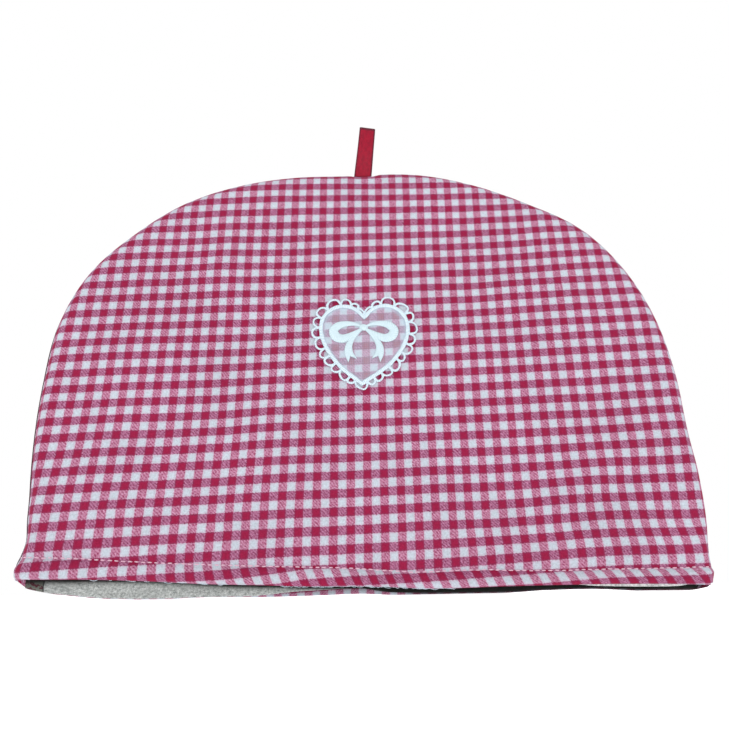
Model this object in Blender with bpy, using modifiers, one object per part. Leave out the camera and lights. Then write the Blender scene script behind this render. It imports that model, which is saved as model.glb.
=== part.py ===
"""Tea cosy: two padded gingham panels sewn together round an arch, a cotton
lining, a ribbon loop at the top and a lace heart with a bow on the front.
It stands open on its hem, front towards -Y.  Lengths below are millimetres."""
import math
import bpy
import bmesh
import numpy as np
from mathutils import Vector

MM = 0.001

# ------------------------------------------------------------ driving sizes
TOP_Z = 264.0            # height of the arch seam at the middle
FRONT_FOOT_Y = -27.3     # where the flat of the front panel meets the table
FRONT_LEAN_DEG = 4.76    # how far the front panel leans back
BACK_FOOT_Y = 39.0       # where the flat of the back panel meets the table
BACK_TOP_Y = 15.0        # the same face at the height of the arch
SEAM_TOP_Y = 5.8         # how far back the arch seam stands at its top
SEAM_HALF_GAP = 0.15     # half of the gap between the two panels at the seam
WALL_FOOT, WALL_TOP = 2.3, 1.9       # steepness of the sides beside the seam
SHOULDER = 10.0          # softness of the turn from a side to the face
CROWN = 3.0              # how much the padding swells the middle of a panel
SEAM_THICK = 2.4         # a padded panel where it is sewn
PAD_THICK = 5.6          # a padded panel away from the seam
LINING_THICK = 1.2
LAYER_GAP = 0.4          # between wadding and lining
STITCH_UP = 10.2         # topstitching above the hem's edge
STITCH_WIDE = 2.8
STITCH_DEEP = 1.1
HEM_ROUND = 2.2          # height over which the hem turns under
CORNER_LEFT, CORNER_RIGHT = 142.0, 38.0   # arch angles where the patch turns

# The arch seam about the middle of the hem: angle up from +X, radius.
ARCH = (  # angle_deg, radius_mm
    (0.15, 191.5), (2.4, 194.6), (4.5, 194.6), (9.0, 198.2), (17.0, 205.8),
    (24.0, 213.4), (32.0, 229.3), (40.0, 246.6), (48.0, 260.9), (56.0, 269.4),
    (64.0, 269.7), (72.0, 270.8), (80.0, 270.6), (90.0, 265.8), (98.0, 266.4),
    (106.0, 267.3), (114.0, 265.6), (122.0, 259.1), (130.0, 251.2),
    (138.0, 236.5), (146.0, 216.4), (154.0, 199.6), (162.0, 186.2),
    (167.0, 181.0), (170.0, 178.0), (172.5, 178.4), (174.5, 179.9),
    (176.5, 178.6))

# Height of each hem's lowest edge over the table.
FRONT_HEM = (  # x_mm, height_mm
    (-178.0, 10.9), (-149.0, 10.5), (-125.0, 10.0), (-101.0, 8.9),
    (-71.0, 7.1), (-41.0, 5.6), (-15.0, 4.2), (12.0, 2.0), (30.0, 0.0),
    (60.0, 0.0), (76.0, 1.6), (104.0, 2.9), (133.0, 3.3), (157.0, 2.9),
    (174.0, 2.0), (183.0, 1.2), (191.0, 0.5))
BACK_HEM = (  # x_mm, height_mm
    (-178.0, 10.9), (-172.0, 6.2), (-164.0, 3.9), (-150.0, 1.9),
    (-134.0, 0.6), (-122.0, 0.0), (-104.0, 0.0), (-90.0, 1.0), (-74.0, 0.0),
    (-48.0, 0.0), (-20.0, 1.2), (5.0, 1.9), (30.0, 0.0), (92.0, 0.0),
    (120.0, 1.7), (148.0, 0.0), (180.0, 0.0), (191.0, 0.5))

# Soft folds: a ridge (up > 0) or trough along a line on a panel.
FRONT_FOLDS = (  # x1, z1, x2, z2, half_width, up
    (84.0, 17.0, 166.0, 66.0, 6.5, -1.3),
    (78.0, 27.0, 150.0, 74.0, 8.0, 1.0),
    (-72.0, 32.0, -66.0, 92.0, 7.0, -1.2),
    (44.0, 14.0, 48.0, 78.0, 9.0, 1.1),
    (62.0, 176.0, 124.0, 190.0, 8.0, -0.9),
    (-146.0, 16.0, -108.0, 60.0, 9.0, 0.9))
BACK_FOLDS = (  # x1, z1, x2, z2, half_width, up
    (-120.0, 20.0, -60.0, 120.0, 11.0, 1.4),
    (24.0, 10.0, 40.0, 96.0, 9.0, -1.2),
    (96.0, 30.0, 150.0, 96.0, 9.0, 1.2),
    (-40.0, 190.0, 30.0, 206.0, 9.0, -0.9))

ACROSS = 25              # cells across a panel
ROWS_UP = (0.0, 0.014, 0.0265, 0.0365, 0.0475, 0.08, 0.135, 0.21, 0.29, 0.38,
           0.47, 0.56, 0.65, 0.74, 0.825, 0.90, 0.957, 1.0)

LOOP_WIDE, LOOP_TALL, LOOP_THICK = 11.2, 39.5, 1.0
LOOP_X, LOOP_LEAN_DEG = 9.9, 5.4      # foot of the loop, lean to the right
LOOP_DEEP = 7.6                        # front to back, outside

HEART_X, HEART_Z = 9.3, 135.7          # centre of the heart on the front
HEART_WIDE, HEART_TALL = 52.0, 49.5    # the sheer heart
LACE_WIDE = 5.0                        # lace round it
SCALLOPS, POINTS_PER_SCALLOP = 24, 4
APPLIQUE_GAP = 0.3
ORGANZA_THICK, LACE_THICK, BOW_THICK = 0.5, 1.0, 0.9


# ------------------------------------------------------------ small helpers
def smooth_table(rows, at):
    """Read a two-column table with a smooth curve through its rows."""
    if at <= rows[0][0]:
        return rows[0][1]
    if at >= rows[-1][0]:
        return rows[-1][1]
    k = 0
    while rows[k + 1][0] < at:
        k += 1

    def slope(i):
        a, b = max(i - 1, 0), min(i + 1, len(rows) - 1)
        return (rows[b][1] - rows[a][1]) / (rows[b][0] - rows[a][0])
    (x0, y0), (x1, y1) = rows[k], rows[k + 1]
    h = x1 - x0
    t = (at - x0) / h
    return ((2 * t**3 - 3 * t * t + 1) * y0 + (t**3 - 2 * t * t + t) * slope(k) * h
            + (-2 * t**3 + 3 * t * t) * y1 + (t**3 - t * t) * slope(k + 1) * h)


def smoothstep(t):
    t = min(max(t, 0.0), 1.0)
    return t * t * (3 - 2 * t)


def arch_point(deg):
    r = smooth_table(ARCH, deg)
    a = math.radians(deg)
    return np.array((r * math.cos(a), r * math.sin(a)))


ARCH_LINE = np.array([arch_point(ARCH[0][0] + (ARCH[-1][0] - ARCH[0][0]) * i / 540)
                      for i in range(541)])


def to_arch(x, z):
    """Distance in the panel's face to the arch seam."""
    a, b = ARCH_LINE[:-1], ARCH_LINE[1:]
    ab = b - a
    q = np.array((x, z))
    t = np.clip(((q - a) * ab).sum(1) / (ab * ab).sum(1), 0, 1)
    return float(np.sqrt((((a + ab * t[:, None]) - q) ** 2).sum(1)).min())


def seam_y(z):
    return SEAM_TOP_Y * z / TOP_Z


def folds(rows, x, z):
    up = 0.0
    for x1, z1, x2, z2, half, high in rows:
        dx, dz = x2 - x1, z2 - z1
        n = math.hypot(dx, dz)
        s = ((x - x1) * dx + (z - z1) * dz) / (n * n)
        d = ((x - x1) * dz - (z - z1) * dx) / n
        fade = smoothstep((s + 0.25) / 0.4) * smoothstep((1.25 - s) / 0.4)
        up += high * fade * math.exp(-(d / half) ** 2)
    return up


def soft_min(a, b, k):
    """The lesser of two values, rounded where they are within k."""
    return min(a, b) - max(k - abs(a - b), 0.0) ** 2 / (4 * k)


def depth(side, x, z, dist):
    """How far a panel's outer face stands from the seam plane."""
    zz = min(max(z, 0.0), TOP_Z)
    crown = CROWN * (1 - min(abs(x) / 185.0, 1.0) ** 2) * math.sin(math.pi * zz / TOP_Z)
    if side < 0:
        flat = seam_y(z) - (FRONT_FOOT_Y + z * math.tan(math.radians(FRONT_LEAN_DEG)))
        extra = folds(FRONT_FOLDS, x, z)
    else:
        flat = BACK_FOOT_Y + (BACK_TOP_Y - BACK_FOOT_Y) * z / TOP_Z - seam_y(z)
        extra = folds(BACK_FOLDS, x, z)
    full = flat + crown + extra * smoothstep(dist / 20.0)
    wall = WALL_FOOT + (WALL_TOP - WALL_FOOT) * zz / TOP_Z
    return max(soft_min(wall * dist, full, min(SHOULDER, 0.8 * full)), 0.0)


def hem_height(side, x):
    return max(smooth_table(FRONT_HEM if side < 0 else BACK_HEM, x), 0.0)


def face_grid(side):
    """Rows and columns of a panel's face in (x, z), a Coons patch whose foot
    is the hem and whose other three sides run round the arch."""
    lo, hi = ARCH[0][0], ARCH[-1][0]
    p00, p10 = arch_point(hi), arch_point(lo)
    p01, p11 = arch_point(CORNER_LEFT), arch_point(CORNER_RIGHT)
    grid = np.zeros((ACROSS + 1, len(ROWS_UP), 2))
    for i in range(ACROSS + 1):
        s = 2 * i / ACROSS - 1
        a = 0.5 + 0.5 * (1.28 * s - 0.28 * s ** 3)
        fx = p00[0] + (p10[0] - p00[0]) * a
        foot = np.array((fx, hem_height(side, fx) + HEM_ROUND))
        if i == 0:
            foot = p00 + (0, HEM_ROUND)
        if i == ACROSS:
            foot = p10 + (0, HEM_ROUND)
        top = arch_point(CORNER_LEFT + (CORNER_RIGHT - CORNER_LEFT) * a)
        for j, b in enumerate(ROWS_UP):
            up = b + 0.77 * b * (1 - b)
            left = arch_point(hi + (CORNER_LEFT - hi) * up)
            right = arch_point(lo + (CORNER_RIGHT - lo) * up)
            low = 1 - smoothstep(b / 0.05)
            left = left + (0, HEM_ROUND * low)
            right = right + (0, HEM_ROUND * low)
            l0, r0 = p00 + (0, HEM_ROUND), p10 + (0, HEM_ROUND)
            grid[i, j] = ((1 - b) * foot + b * top + (1 - a) * left + a * right
                          - ((1 - a) * (1 - b) * l0 + a * (1 - b) * r0
                             + (1 - a) * b * p01 + a * b * p11))
    return grid


class Face:
    """A panel's outer face with its inward directions and thickness."""

    def __init__(self, side):
        self.side = side
        g = face_grid(side)
        n, m = g.shape[:2]
        self.n, self.m = n, m
        self.xz = g
        self.edge = np.zeros((n, m), bool)
        self.edge[0, :] = self.edge[-1, :] = True
        self.edge[:, -1] = True
        self.dist = np.array([[0.0 if self.edge[i, j] else to_arch(*g[i, j])
                               for j in range(m)] for i in range(n)])
        out = np.zeros((n, m, 3))
        for i in range(n):
            for j in range(m):
                x, z = g[i, j]
                y = seam_y(z) + side * (SEAM_HALF_GAP + depth(side, x, z, self.dist[i, j]))
                out[i, j] = (x, y, z)
        self.raw = out
        inward = np.zeros((n, m, 3))
        for i in range(n):
            for j in range(m):
                du = out[min(i + 1, n - 1), j] - out[max(i - 1, 0), j]
                dv = out[i, min(j + 1, m - 1)] - out[i, max(j - 1, 0)]
                v = np.cross(du, dv)
                if v[1] * side > 0:
                    v = -v
                if self.edge[i, j]:
                    # at the seam the layers lie in the face of the seam
                    q = g[i, j]
                    k = int(np.argmin(((ARCH_LINE - q) ** 2).sum(1)))
                    tang = ARCH_LINE[min(k + 3, 540)] - ARCH_LINE[max(k - 3, 0)]
                    inn = np.array((-tang[1], tang[0]))
                    if inn @ (np.array((5.0, 110.0)) - q) < 0:
                        inn = -inn
                    if j < 4:
                        inn = np.array((1.0 if i == 0 else -1.0, 0.0))
                    v = np.array((inn[0], 0.0, inn[1]))
                inward[i, j] = v / np.linalg.norm(v)
        self.inward = inward
        self.thick = np.zeros((n, m))
        self.sink = np.zeros((n, m))
        for i in range(n):
            for j in range(m):
                x, y, z = out[i, j]
                d = self.dist[i, j]
                t = SEAM_THICK + (PAD_THICK - SEAM_THICK) * smoothstep(d / 22.0)
                if not self.edge[i, j]:
                    t = min(t, 0.55 * abs(y - seam_y(z)) + 0.2)
                up = z - hem_height(side, x)
                line = math.exp(-((up - STITCH_UP) / STITCH_WIDE) ** 2) * smoothstep(d / 14.0)
                self.sink[i, j] = STITCH_DEEP * line
                self.thick[i, j] = t - 1.5 * line
        self.out = out + inward * self.sink[..., None]

    def layer(self, off):
        """The surface at this much of the thickness in from the outer face,
        kept on its own side of the seam."""
        p = self.out + self.inward * off[..., None]
        lim = SEAM_HALF_GAP
        for i in range(self.n):
            for j in range(self.m):
                s = seam_y(p[i, j, 2])
                if (p[i, j, 1] - s) * self.side < lim:
                    p[i, j, 1] = s + self.side * lim
        return p


# ------------------------------------------------------------ solids
def material(name, rgb, rough, sheen=0.0):
    m = bpy.data.materials.new(name)
    m.use_nodes = True
    b = m.node_tree.nodes["Principled BSDF"]
    b.inputs["Base Color"].default_value = (*rgb, 1.0)
    b.inputs["Roughness"].default_value = rough
    b.inputs["Metallic"].default_value = 0.0
    b.inputs["Sheen Weight"].default_value = sheen
    m.diffuse_color = (*rgb, 1.0)
    return m


def add_object(name, bm, mat, centre):
    bmesh.ops.recalc_face_normals(bm, faces=bm.faces[:])
    for v in bm.verts:
        v.co = (v.co - Vector(centre)) * MM
    me = bpy.data.meshes.new(name)
    bm.to_mesh(me)
    bm.free()
    me.materials.append(mat)
    me.shade_smooth()
    me.set_sharp_from_angle(angle=math.radians(50))
    ob = bpy.data.objects.new(name, me)
    ob.location = Vector(centre) * MM
    parts.objects.link(ob)
    return ob


def loft(sections, rows):
    """Join closed sections of equal point count: a section runs down the
    outer face, round the hem and up the inner face.  Each cell is halved
    along the same diagonal in every layer, so that the layers nest."""
    bm = bmesh.new()
    rings = [[bm.verts.new(p) for p in s] for s in sections]
    count = len(rings[0])
    for a, b in zip(rings, rings[1:]):
        for k in range(count):
            n = (k + 1) % count
            if k < rows - 1:
                bm.faces.new((a[k], a[n], b[k]))
                bm.faces.new((a[n], b[n], b[k]))
            else:
                bm.faces.new((a[k], a[n], b[n]))
                bm.faces.new((a[k], b[n], b[k]))
    return bm, rings


def cap(bm, ring, pairs):
    """Close an end by joining outer to inner points, row by row."""
    n = len(ring)
    for k in range(pairs):
        bm.faces.new((ring[k], ring[k + 1], ring[n - 2 - k], ring[n - 1 - k]))
    rest = ring[pairs:n - pairs]
    if len(rest) > 2:
        bm.faces.new(rest)


def panel_solid(name, face, mat):
    outer = face.out
    inner = face.layer(face.thick)
    sections = []
    for i in range(face.n):
        x, _, z = outer[i, 0]
        low = z - HEM_ROUND
        across = inner[i, 0] - outer[i, 0]
        across[2] = 0.0
        down = list(outer[i, ::-1])
        turn = []
        for part, rise in ((0.07, 0.62), (0.30, 0.0), (0.70, 0.0), (0.93, 0.62)):
            p = outer[i, 0] + across * part
            p[2] = low + HEM_ROUND * 0.36 * (rise / 0.62 if rise else 0.0)
            turn.append(p)
        up = list(inner[i])
        sections.append(down + turn + up)
    bm, rings = loft(sections, face.m)
    for r in (rings[0], rings[-1]):
        cap(bm, r, face.m - 1)
    return add_object(name, bm, mat, (0.0, 0.0, 0.0))


def lining_solid(name, face, mat):
    a = face.layer(face.thick + LAYER_GAP)
    b = face.layer(face.thick + LAYER_GAP + LINING_THICK)
    # keep the lining's own edge clear of the other side's
    for i in range(face.n):
        for j in range(face.m):
            for p in (a, b):
                s = seam_y(p[i, j, 2])
                if (p[i, j, 1] - s) * face.side < SEAM_HALF_GAP + 0.05:
                    p[i, j, 1] = s + face.side * (SEAM_HALF_GAP + 0.05)
    sections = [list(a[i, ::-1]) + list(b[i]) for i in range(face.n)]
    bm, rings = loft(sections, face.m)
    for r in (rings[0], rings[-1]):
        cap(bm, r, face.m - 1)
    return add_object(name, bm, mat, (0.0, 0.0, 0.0))


def loop_solid(mat):
    """A ribbon folded in half and sewn in at the top seam: the middle line of
    its edge, up the front, over and down the back, then thickened."""
    lean = math.radians(LOOP_LEAN_DEG)
    seat = arch_point(88.0)[1] + 0.7
    y0 = seam_y(seat)
    path = []
    steps = 14
    r = LOOP_DEEP / 2 - LOOP_THICK / 2
    tall = LOOP_TALL - LOOP_THICK
    for k in range(steps + 1):          # up the front leg
        t = k / steps
        open_ = 0.95 + (r - 0.95) * smoothstep(t / 0.35)
        path.append((-open_, t * (tall - r)))
    for k in range(1, 8):               # over the top
        a = math.pi * k / 8
        path.append((-r * math.cos(a), tall - r + r * math.sin(a) * 0.9))
    path += [(-y, z) for y, z in path[:steps + 1][::-1]]
    bm = bmesh.new()
    rows = []
    for y, z in path:
        row = []
        for s in (-0.5, 0.5):
            x = LOOP_X + s * LOOP_WIDE + z * math.tan(lean)
            dz = -s * LOOP_WIDE * math.tan(lean) * 0.9 * smoothstep(z / tall)
            row.append(bm.verts.new((x, y0 + y, seat + z + dz + LOOP_THICK / 2)))
        rows.append(row)
    for a, b in zip(rows, rows[1:]):
        bm.faces.new((a[0], a[1], b[1], b[0]))
    ob = add_object("hanging_loop", bm, mat, (0.0, 0.0, 0.0))
    mod = ob.modifiers.new("ribbon thickness", "SOLIDIFY")
    mod.thickness = LOOP_THICK * MM
    mod.offset = 0.0
    mod.use_even_offset = True
    return ob


HEART = (  # degrees from the top, radius as a share of half the height
    (0.0, 0.69), (8.0, 0.84), (16.0, 0.99), (27.0, 1.13), (42.0, 1.17),
    (60.0, 1.13), (80.0, 1.05), (100.0, 0.94), (120.0, 0.865), (140.0, 0.84),
    (160.0, 0.90), (172.0, 0.97), (180.0, 1.0))


def heart_outline(count, grow):
    """A rounded heart about its centre, grown outward by this much."""
    pts = []
    for k in range(count):
        t = 2 * math.pi * (k + 0.5) / count
        off = abs(math.degrees(math.remainder(t, 2 * math.pi)))
        r = smooth_table(HEART, off) * HEART_TALL / 2 + grow
        pts.append((r * math.sin(t) * HEART_WIDE / HEART_TALL / 1.05, r * math.cos(t)))
    return np.array(pts)


def on_front(x, z, lift):
    """A point over the front panel's face, lifted off it by this much."""
    wx, wz = HEART_X + x, HEART_Z + z
    d = to_arch(wx, wz)
    y = seam_y(wz) - SEAM_HALF_GAP - depth(-1, wx, wz, d)
    lean = math.radians(FRONT_LEAN_DEG)
    return Vector((wx, y - lift * math.cos(lean), wz + lift * math.sin(lean)))


def flat_piece(name, bm, mat, low, thick):
    """Wrap a flat outline, meshed in the heart's own plane, onto the front."""
    for v in bm.verts:
        v.co = on_front(v.co.x, v.co.z, low + thick / 2)
    ob = add_object(name, bm, mat, (0.0, 0.0, 0.0))
    mod = ob.modifiers.new("cloth thickness", "SOLIDIFY")
    mod.thickness = thick * MM
    mod.offset = 0.0
    return ob


def heart_solid(mat):
    bm = bmesh.new()
    count = SCALLOPS * POINTS_PER_SCALLOP
    ring = heart_outline(count, 0.0)
    mid = bm.verts.new((0.0, 0.0, 0.0))
    rim = [bm.verts.new((p[0], 0.0, p[1])) for p in ring]
    for k in range(count):
        n = (k + 1) % count
        bm.faces.new((mid, rim[k], rim[n]))
    return flat_piece("heart_patch", bm, mat, APPLIQUE_GAP, ORGANZA_THICK)


def lace_solid(mat):
    bm = bmesh.new()
    per = POINTS_PER_SCALLOP
    count = SCALLOPS * per
    inside = heart_outline(count, 0.35)
    whole = heart_outline(count, LACE_WIDE) - inside
    a, b = [], []
    for k in range(count):
        wave = 0.74 + 0.26 * abs(math.sin(math.pi * (k + 0.5) / per))
        p = inside[k] + whole[k] * wave
        a.append(bm.verts.new((inside[k][0], 0.0, inside[k][1])))
        b.append(bm.verts.new((p[0], 0.0, p[1])))
    for k in range(count):
        n = (k + 1) % count
        bm.faces.new((a[k], b[k], b[n], a[n]))
    return flat_piece("lace_edge", bm, mat, APPLIQUE_GAP, LACE_THICK)


KNOT_Z = 11.0
BOW = (  # x, z, width : half of the bow's ribbon along its middle line
    (1.5, 12.6, 2.2), (5.5, 13.9, 3.2), (10.5, 14.3, 4.2), (15.4, 12.6, 5.2),
    (17.2, 8.6, 5.4), (13.4, 5.4, 4.8), (7.6, 7.0, 3.4), (1.8, 9.2, 2.0))
TAIL = (  # x, z, width
    (1.6, 9.4, 2.4), (4.2, 4.6, 3.8), (6.4, -1.6, 4.8), (7.9, -10.6, 5.2))


def band(bm, rows, mirror):
    mid = np.array([(x * mirror, z) for x, z, _ in rows])
    d = np.gradient(mid, axis=0)
    nrm = np.stack([-d[:, 1], d[:, 0]], 1)
    nrm /= np.linalg.norm(nrm, axis=1)[:, None]
    left, right = [], []
    for p, nn, (_, _, w) in zip(mid, nrm, rows):
        q, r = p + nn * w / 2, p - nn * w / 2
        left.append(bm.verts.new((q[0], 0.0, q[1])))
        right.append(bm.verts.new((r[0], 0.0, r[1])))
    for k in range(len(rows) - 1):
        bm.faces.new((left[k], right[k], right[k + 1], left[k + 1]))


def fine(rows, steps):
    """More rows along a band, on a smooth curve through the given ones."""
    out = []
    keys = [(k, row) for k, row in enumerate(rows)]
    for s in range(steps + 1):
        t = s / steps * (len(rows) - 1)
        out.append(tuple(smooth_table([(k, row[c]) for k, row in keys], t) for c in range(3)))
    return out


def bow_solid(mat):
    """Two loops, two tails and the knot, raised one over the other so that
    they unite into one stitched bow."""
    level = APPLIQUE_GAP * 2 + ORGANZA_THICK
    pieces = []
    for name, rows, steps, mirror in (("loop_r", BOW, 13, 1), ("loop_l", BOW, 13, -1),
                                      ("tail_r", TAIL, 5, 1), ("tail_l", TAIL, 5, -1)):
        bm = bmesh.new()
        band(bm, fine(rows, steps), mirror)
        pieces.append(flat_piece("bow_" + name, bm, mat, level, BOW_THICK))
    bpy.ops.mesh.primitive_uv_sphere_add(segments=16, ring_count=8, radius=1.0)
    knot = bpy.context.object
    for c in list(knot.users_collection):
        c.objects.unlink(knot)
    parts.objects.link(knot)
    knot.name = knot.data.name = "bow"
    at = on_front(0.0, KNOT_Z, level + BOW_THICK * 0.75)
    for v in knot.data.vertices:
        v.co = Vector((v.co.x * 3.7, v.co.y * BOW_THICK * 0.72, v.co.z * 3.0)) * MM + at * MM
    knot.data.materials.append(mat)
    knot.data.shade_smooth()
    for p in pieces:
        parts.objects.unlink(p)
        cutters.objects.link(p)
        p.hide_render = True
        p.display_type = "WIRE"
        mod = knot.modifiers.new(p.name, "BOOLEAN")
        mod.operation = "UNION"
        mod.object = p
    return knot


# ------------------------------------------------------------ build
for ob in list(bpy.data.objects):
    bpy.data.objects.remove(ob, do_unlink=True)
parts = bpy.data.collections.new("tea_cosy")
cutters = bpy.data.collections.new("tea_cosy_cutters")
for c in (parts, cutters):
    bpy.context.scene.collection.children.link(c)

gingham = material("gingham", (0.50, 0.20, 0.31), 0.85, 0.2)
cotton = material("lining cotton", (0.55, 0.57, 0.57), 0.9)
ribbon = material("ribbon", (0.39, 0.013, 0.036), 0.5)
organza = material("organza", (0.60, 0.42, 0.50), 0.6)
lace = material("lace", (0.86, 0.90, 0.93), 0.8)
satin = material("satin", (0.84, 0.89, 0.91), 0.55)

front, back = Face(-1), Face(1)
panel_solid("front_panel", front, gingham)
panel_solid("back_panel", back, gingham)
lining_solid("lining_front", front, cotton)
lining_solid("lining_back", back, cotton)
loop_solid(ribbon)
heart_solid(organza)
lace_solid(lace)
bow_solid(satin)

# the origin is the middle of the box's foot
bpy.context.view_layer.update()
graph = bpy.context.evaluated_depsgraph_get()
low, high = Vector((1e9,) * 3), Vector((-1e9,) * 3)
for ob in parts.objects:
    me = ob.evaluated_get(graph).data
    for v in me.vertices:
        p = ob.matrix_world @ v.co
        low = Vector(map(min, low, p))
        high = Vector(map(max, high, p))
shift = Vector((-(low.x + high.x) / 2, -(low.y + high.y) / 2, -low.z))
for ob in list(parts.objects) + list(cutters.objects):
    ob.location += shift
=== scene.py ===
import math
import bpy
import numpy as np
from mathutils import Matrix, Vector


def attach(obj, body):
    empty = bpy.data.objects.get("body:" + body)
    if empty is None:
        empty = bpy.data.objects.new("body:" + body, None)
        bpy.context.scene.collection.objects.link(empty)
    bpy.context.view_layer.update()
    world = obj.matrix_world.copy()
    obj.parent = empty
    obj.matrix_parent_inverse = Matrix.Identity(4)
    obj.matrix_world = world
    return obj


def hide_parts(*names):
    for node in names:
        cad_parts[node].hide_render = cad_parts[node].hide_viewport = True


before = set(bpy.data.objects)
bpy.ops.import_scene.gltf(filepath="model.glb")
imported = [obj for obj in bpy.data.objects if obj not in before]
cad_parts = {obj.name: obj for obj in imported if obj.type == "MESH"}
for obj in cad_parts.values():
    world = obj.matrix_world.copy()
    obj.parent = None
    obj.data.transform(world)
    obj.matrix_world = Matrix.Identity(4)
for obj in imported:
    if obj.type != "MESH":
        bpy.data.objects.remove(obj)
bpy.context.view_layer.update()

# ======================================================================
# Tea cosy: gingham panels, cotton lining, ribbon loop, lace heart and bow.
# Lengths below are millimetres in the pattern's own frame: X across, Z up,
# front towards -Y, and SHIFT moves them to the part's frame.
# ======================================================================
MM = 0.001
SHIFT = np.array((-9.0813, -5.897, 0.0))

# ------------------------------------------------------------ cosy sizes
TOP_Z = 264.0
FRONT_FOOT_Y, FRONT_LEAN_DEG = -27.3, 4.76
BACK_FOOT_Y, BACK_TOP_Y = 39.0, 15.0
SEAM_TOP_Y, SEAM_HALF_GAP = 5.8, 0.15
CROWN = 3.0
SHOULDER = 10.0          # softness of the turn from face to side
WALL_FOOT, WALL_TOP = 2.3, 1.9   # steepness of the sides towards the seam
PAD_THICK, LINING_THICK, LAYER_GAP = 5.6, 1.2, 0.4
HEM_ROUND = 2.2
CORNER_LEFT, CORNER_RIGHT = 142.0, 38.0

ARCH = (  # angle_deg, radius_mm
    (0.7, 193.2), (2.4, 195.3), (4.5, 194.9), (6.5, 196.1), (9.0, 198.6), (17.0, 206.6),
    (24.0, 214.9), (32.0, 230.8), (40.0, 247.6), (48.0, 261.3), (56.0, 269.8),
    (64.0, 270.1), (72.0, 270.9), (80.0, 270.1), (90.0, 265.4), (98.0, 266.5),
    (106.0, 267.3), (114.0, 265.6), (122.0, 259.1), (130.0, 251.2),
    (138.0, 236.5), (146.0, 216.4), (154.0, 199.6), (162.0, 186.2),
    (167.0, 180.4), (170.0, 177.4), (172.5, 177.8), (174.5, 179.3),
    (176.5, 178.6))
FRONT_HEM = (  # x_mm, height_mm
    (-178.0, 10.9), (-149.0, 10.5), (-125.0, 10.0), (-101.0, 8.9),
    (-71.0, 7.1), (-41.0, 6.0), (-24.0, 5.2), (4.0, 4.8), (20.0, 4.2),
    (38.0, 3.2), (56.0, 3.2), (75.0, 3.6), (104.0, 3.8), (134.0, 3.8),
    (158.0, 3.4), (172.0, 3.0), (183.0, 2.7), (193.2, 2.4))
BACK_HEM = (  # x_mm, height_mm
    (-178.0, 10.9), (-172.0, 6.2), (-164.0, 3.2), (-150.0, 1.2),
    (-134.0, 0.3), (-122.0, 0.0), (-104.0, 0.0), (-90.0, 0.4), (-74.0, 0.4),
    (-48.0, 0.1), (-20.0, 0.4), (5.0, 0.9), (22.0, 0.1), (34.0, 0.0), (88.0, 0.0),
    (100.0, 0.4), (112.0, 1.0), (141.0, 1.3), (155.0, 0.7), (168.0, 0.0),
    (180.0, 0.0), (186.0, 0.0), (193.2, 1.6))
STITCH_FRONT = (  # x_mm, height of the topstitching over the table
    (-180.0, 22.2), (-159.0, 21.2), (-136.0, 20.2), (-118.0, 19.0),
    (-101.0, 17.9), (-65.0, 16.0), (-28.0, 14.6), (-11.0, 14.1), (7.0, 13.0),
    (23.0, 11.7), (34.0, 11.2), (52.0, 11.5), (66.0, 11.7), (94.0, 10.9),
    (140.0, 11.0), (166.0, 11.1), (193.0, 11.5))
STITCH_BACK = 10.0       # the same above the back hem's edge
SWALLOWED = (  # x_mm, cloth taken up by the stitching, in repeats of the check
    (-140.0, 0.0), (-80.0, 0.02), (-60.0, 0.05), (-50.0, 0.09), (-41.0, 0.15),
    (-30.0, 0.26), (-22.0, 0.34), (-8.0, 0.36), (60.0, 0.37), (191.0, 0.42))

FRONT_FOLDS = (  # x1, z1, x2, z2, half_width, up
    (84.0, 17.0, 166.0, 66.0, 6.5, -1.3),
    (78.0, 27.0, 150.0, 74.0, 8.0, 1.0),
    (-72.0, 32.0, -66.0, 92.0, 7.0, -1.2),
    (44.0, 14.0, 48.0, 78.0, 9.0, 1.1),
    (62.0, 176.0, 124.0, 190.0, 8.0, -0.9),
    (-146.0, 16.0, -108.0, 60.0, 9.0, 0.9))
BACK_FOLDS = (  # x1, z1, x2, z2, half_width, up
    (-120.0, 20.0, -60.0, 120.0, 11.0, 1.4),
    (24.0, 10.0, 40.0, 96.0, 9.0, -1.2),
    (96.0, 30.0, 150.0, 96.0, 9.0, 1.2),
    (-40.0, 190.0, 30.0, 206.0, 9.0, -0.9))

# gingham: size of one red and white repeat, and where it starts
CHECK_ACROSS, CHECK_UP = 8.97, 9.446
CHECK_X0, CHECK_S0 = 4.5, 75.4
CHECK_TURN, CHECK_SKEW = math.radians(2.12), math.radians(-2.73)
BAND_LEAN = (  # x_mm, sideways drift of the check per mm below the stitching
    (-121.0, 0.0), (-82.0, 0.22), (-54.0, 0.45), (65.0, 0.45), (126.0, 0.5),
    (172.0, 0.6))

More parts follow.
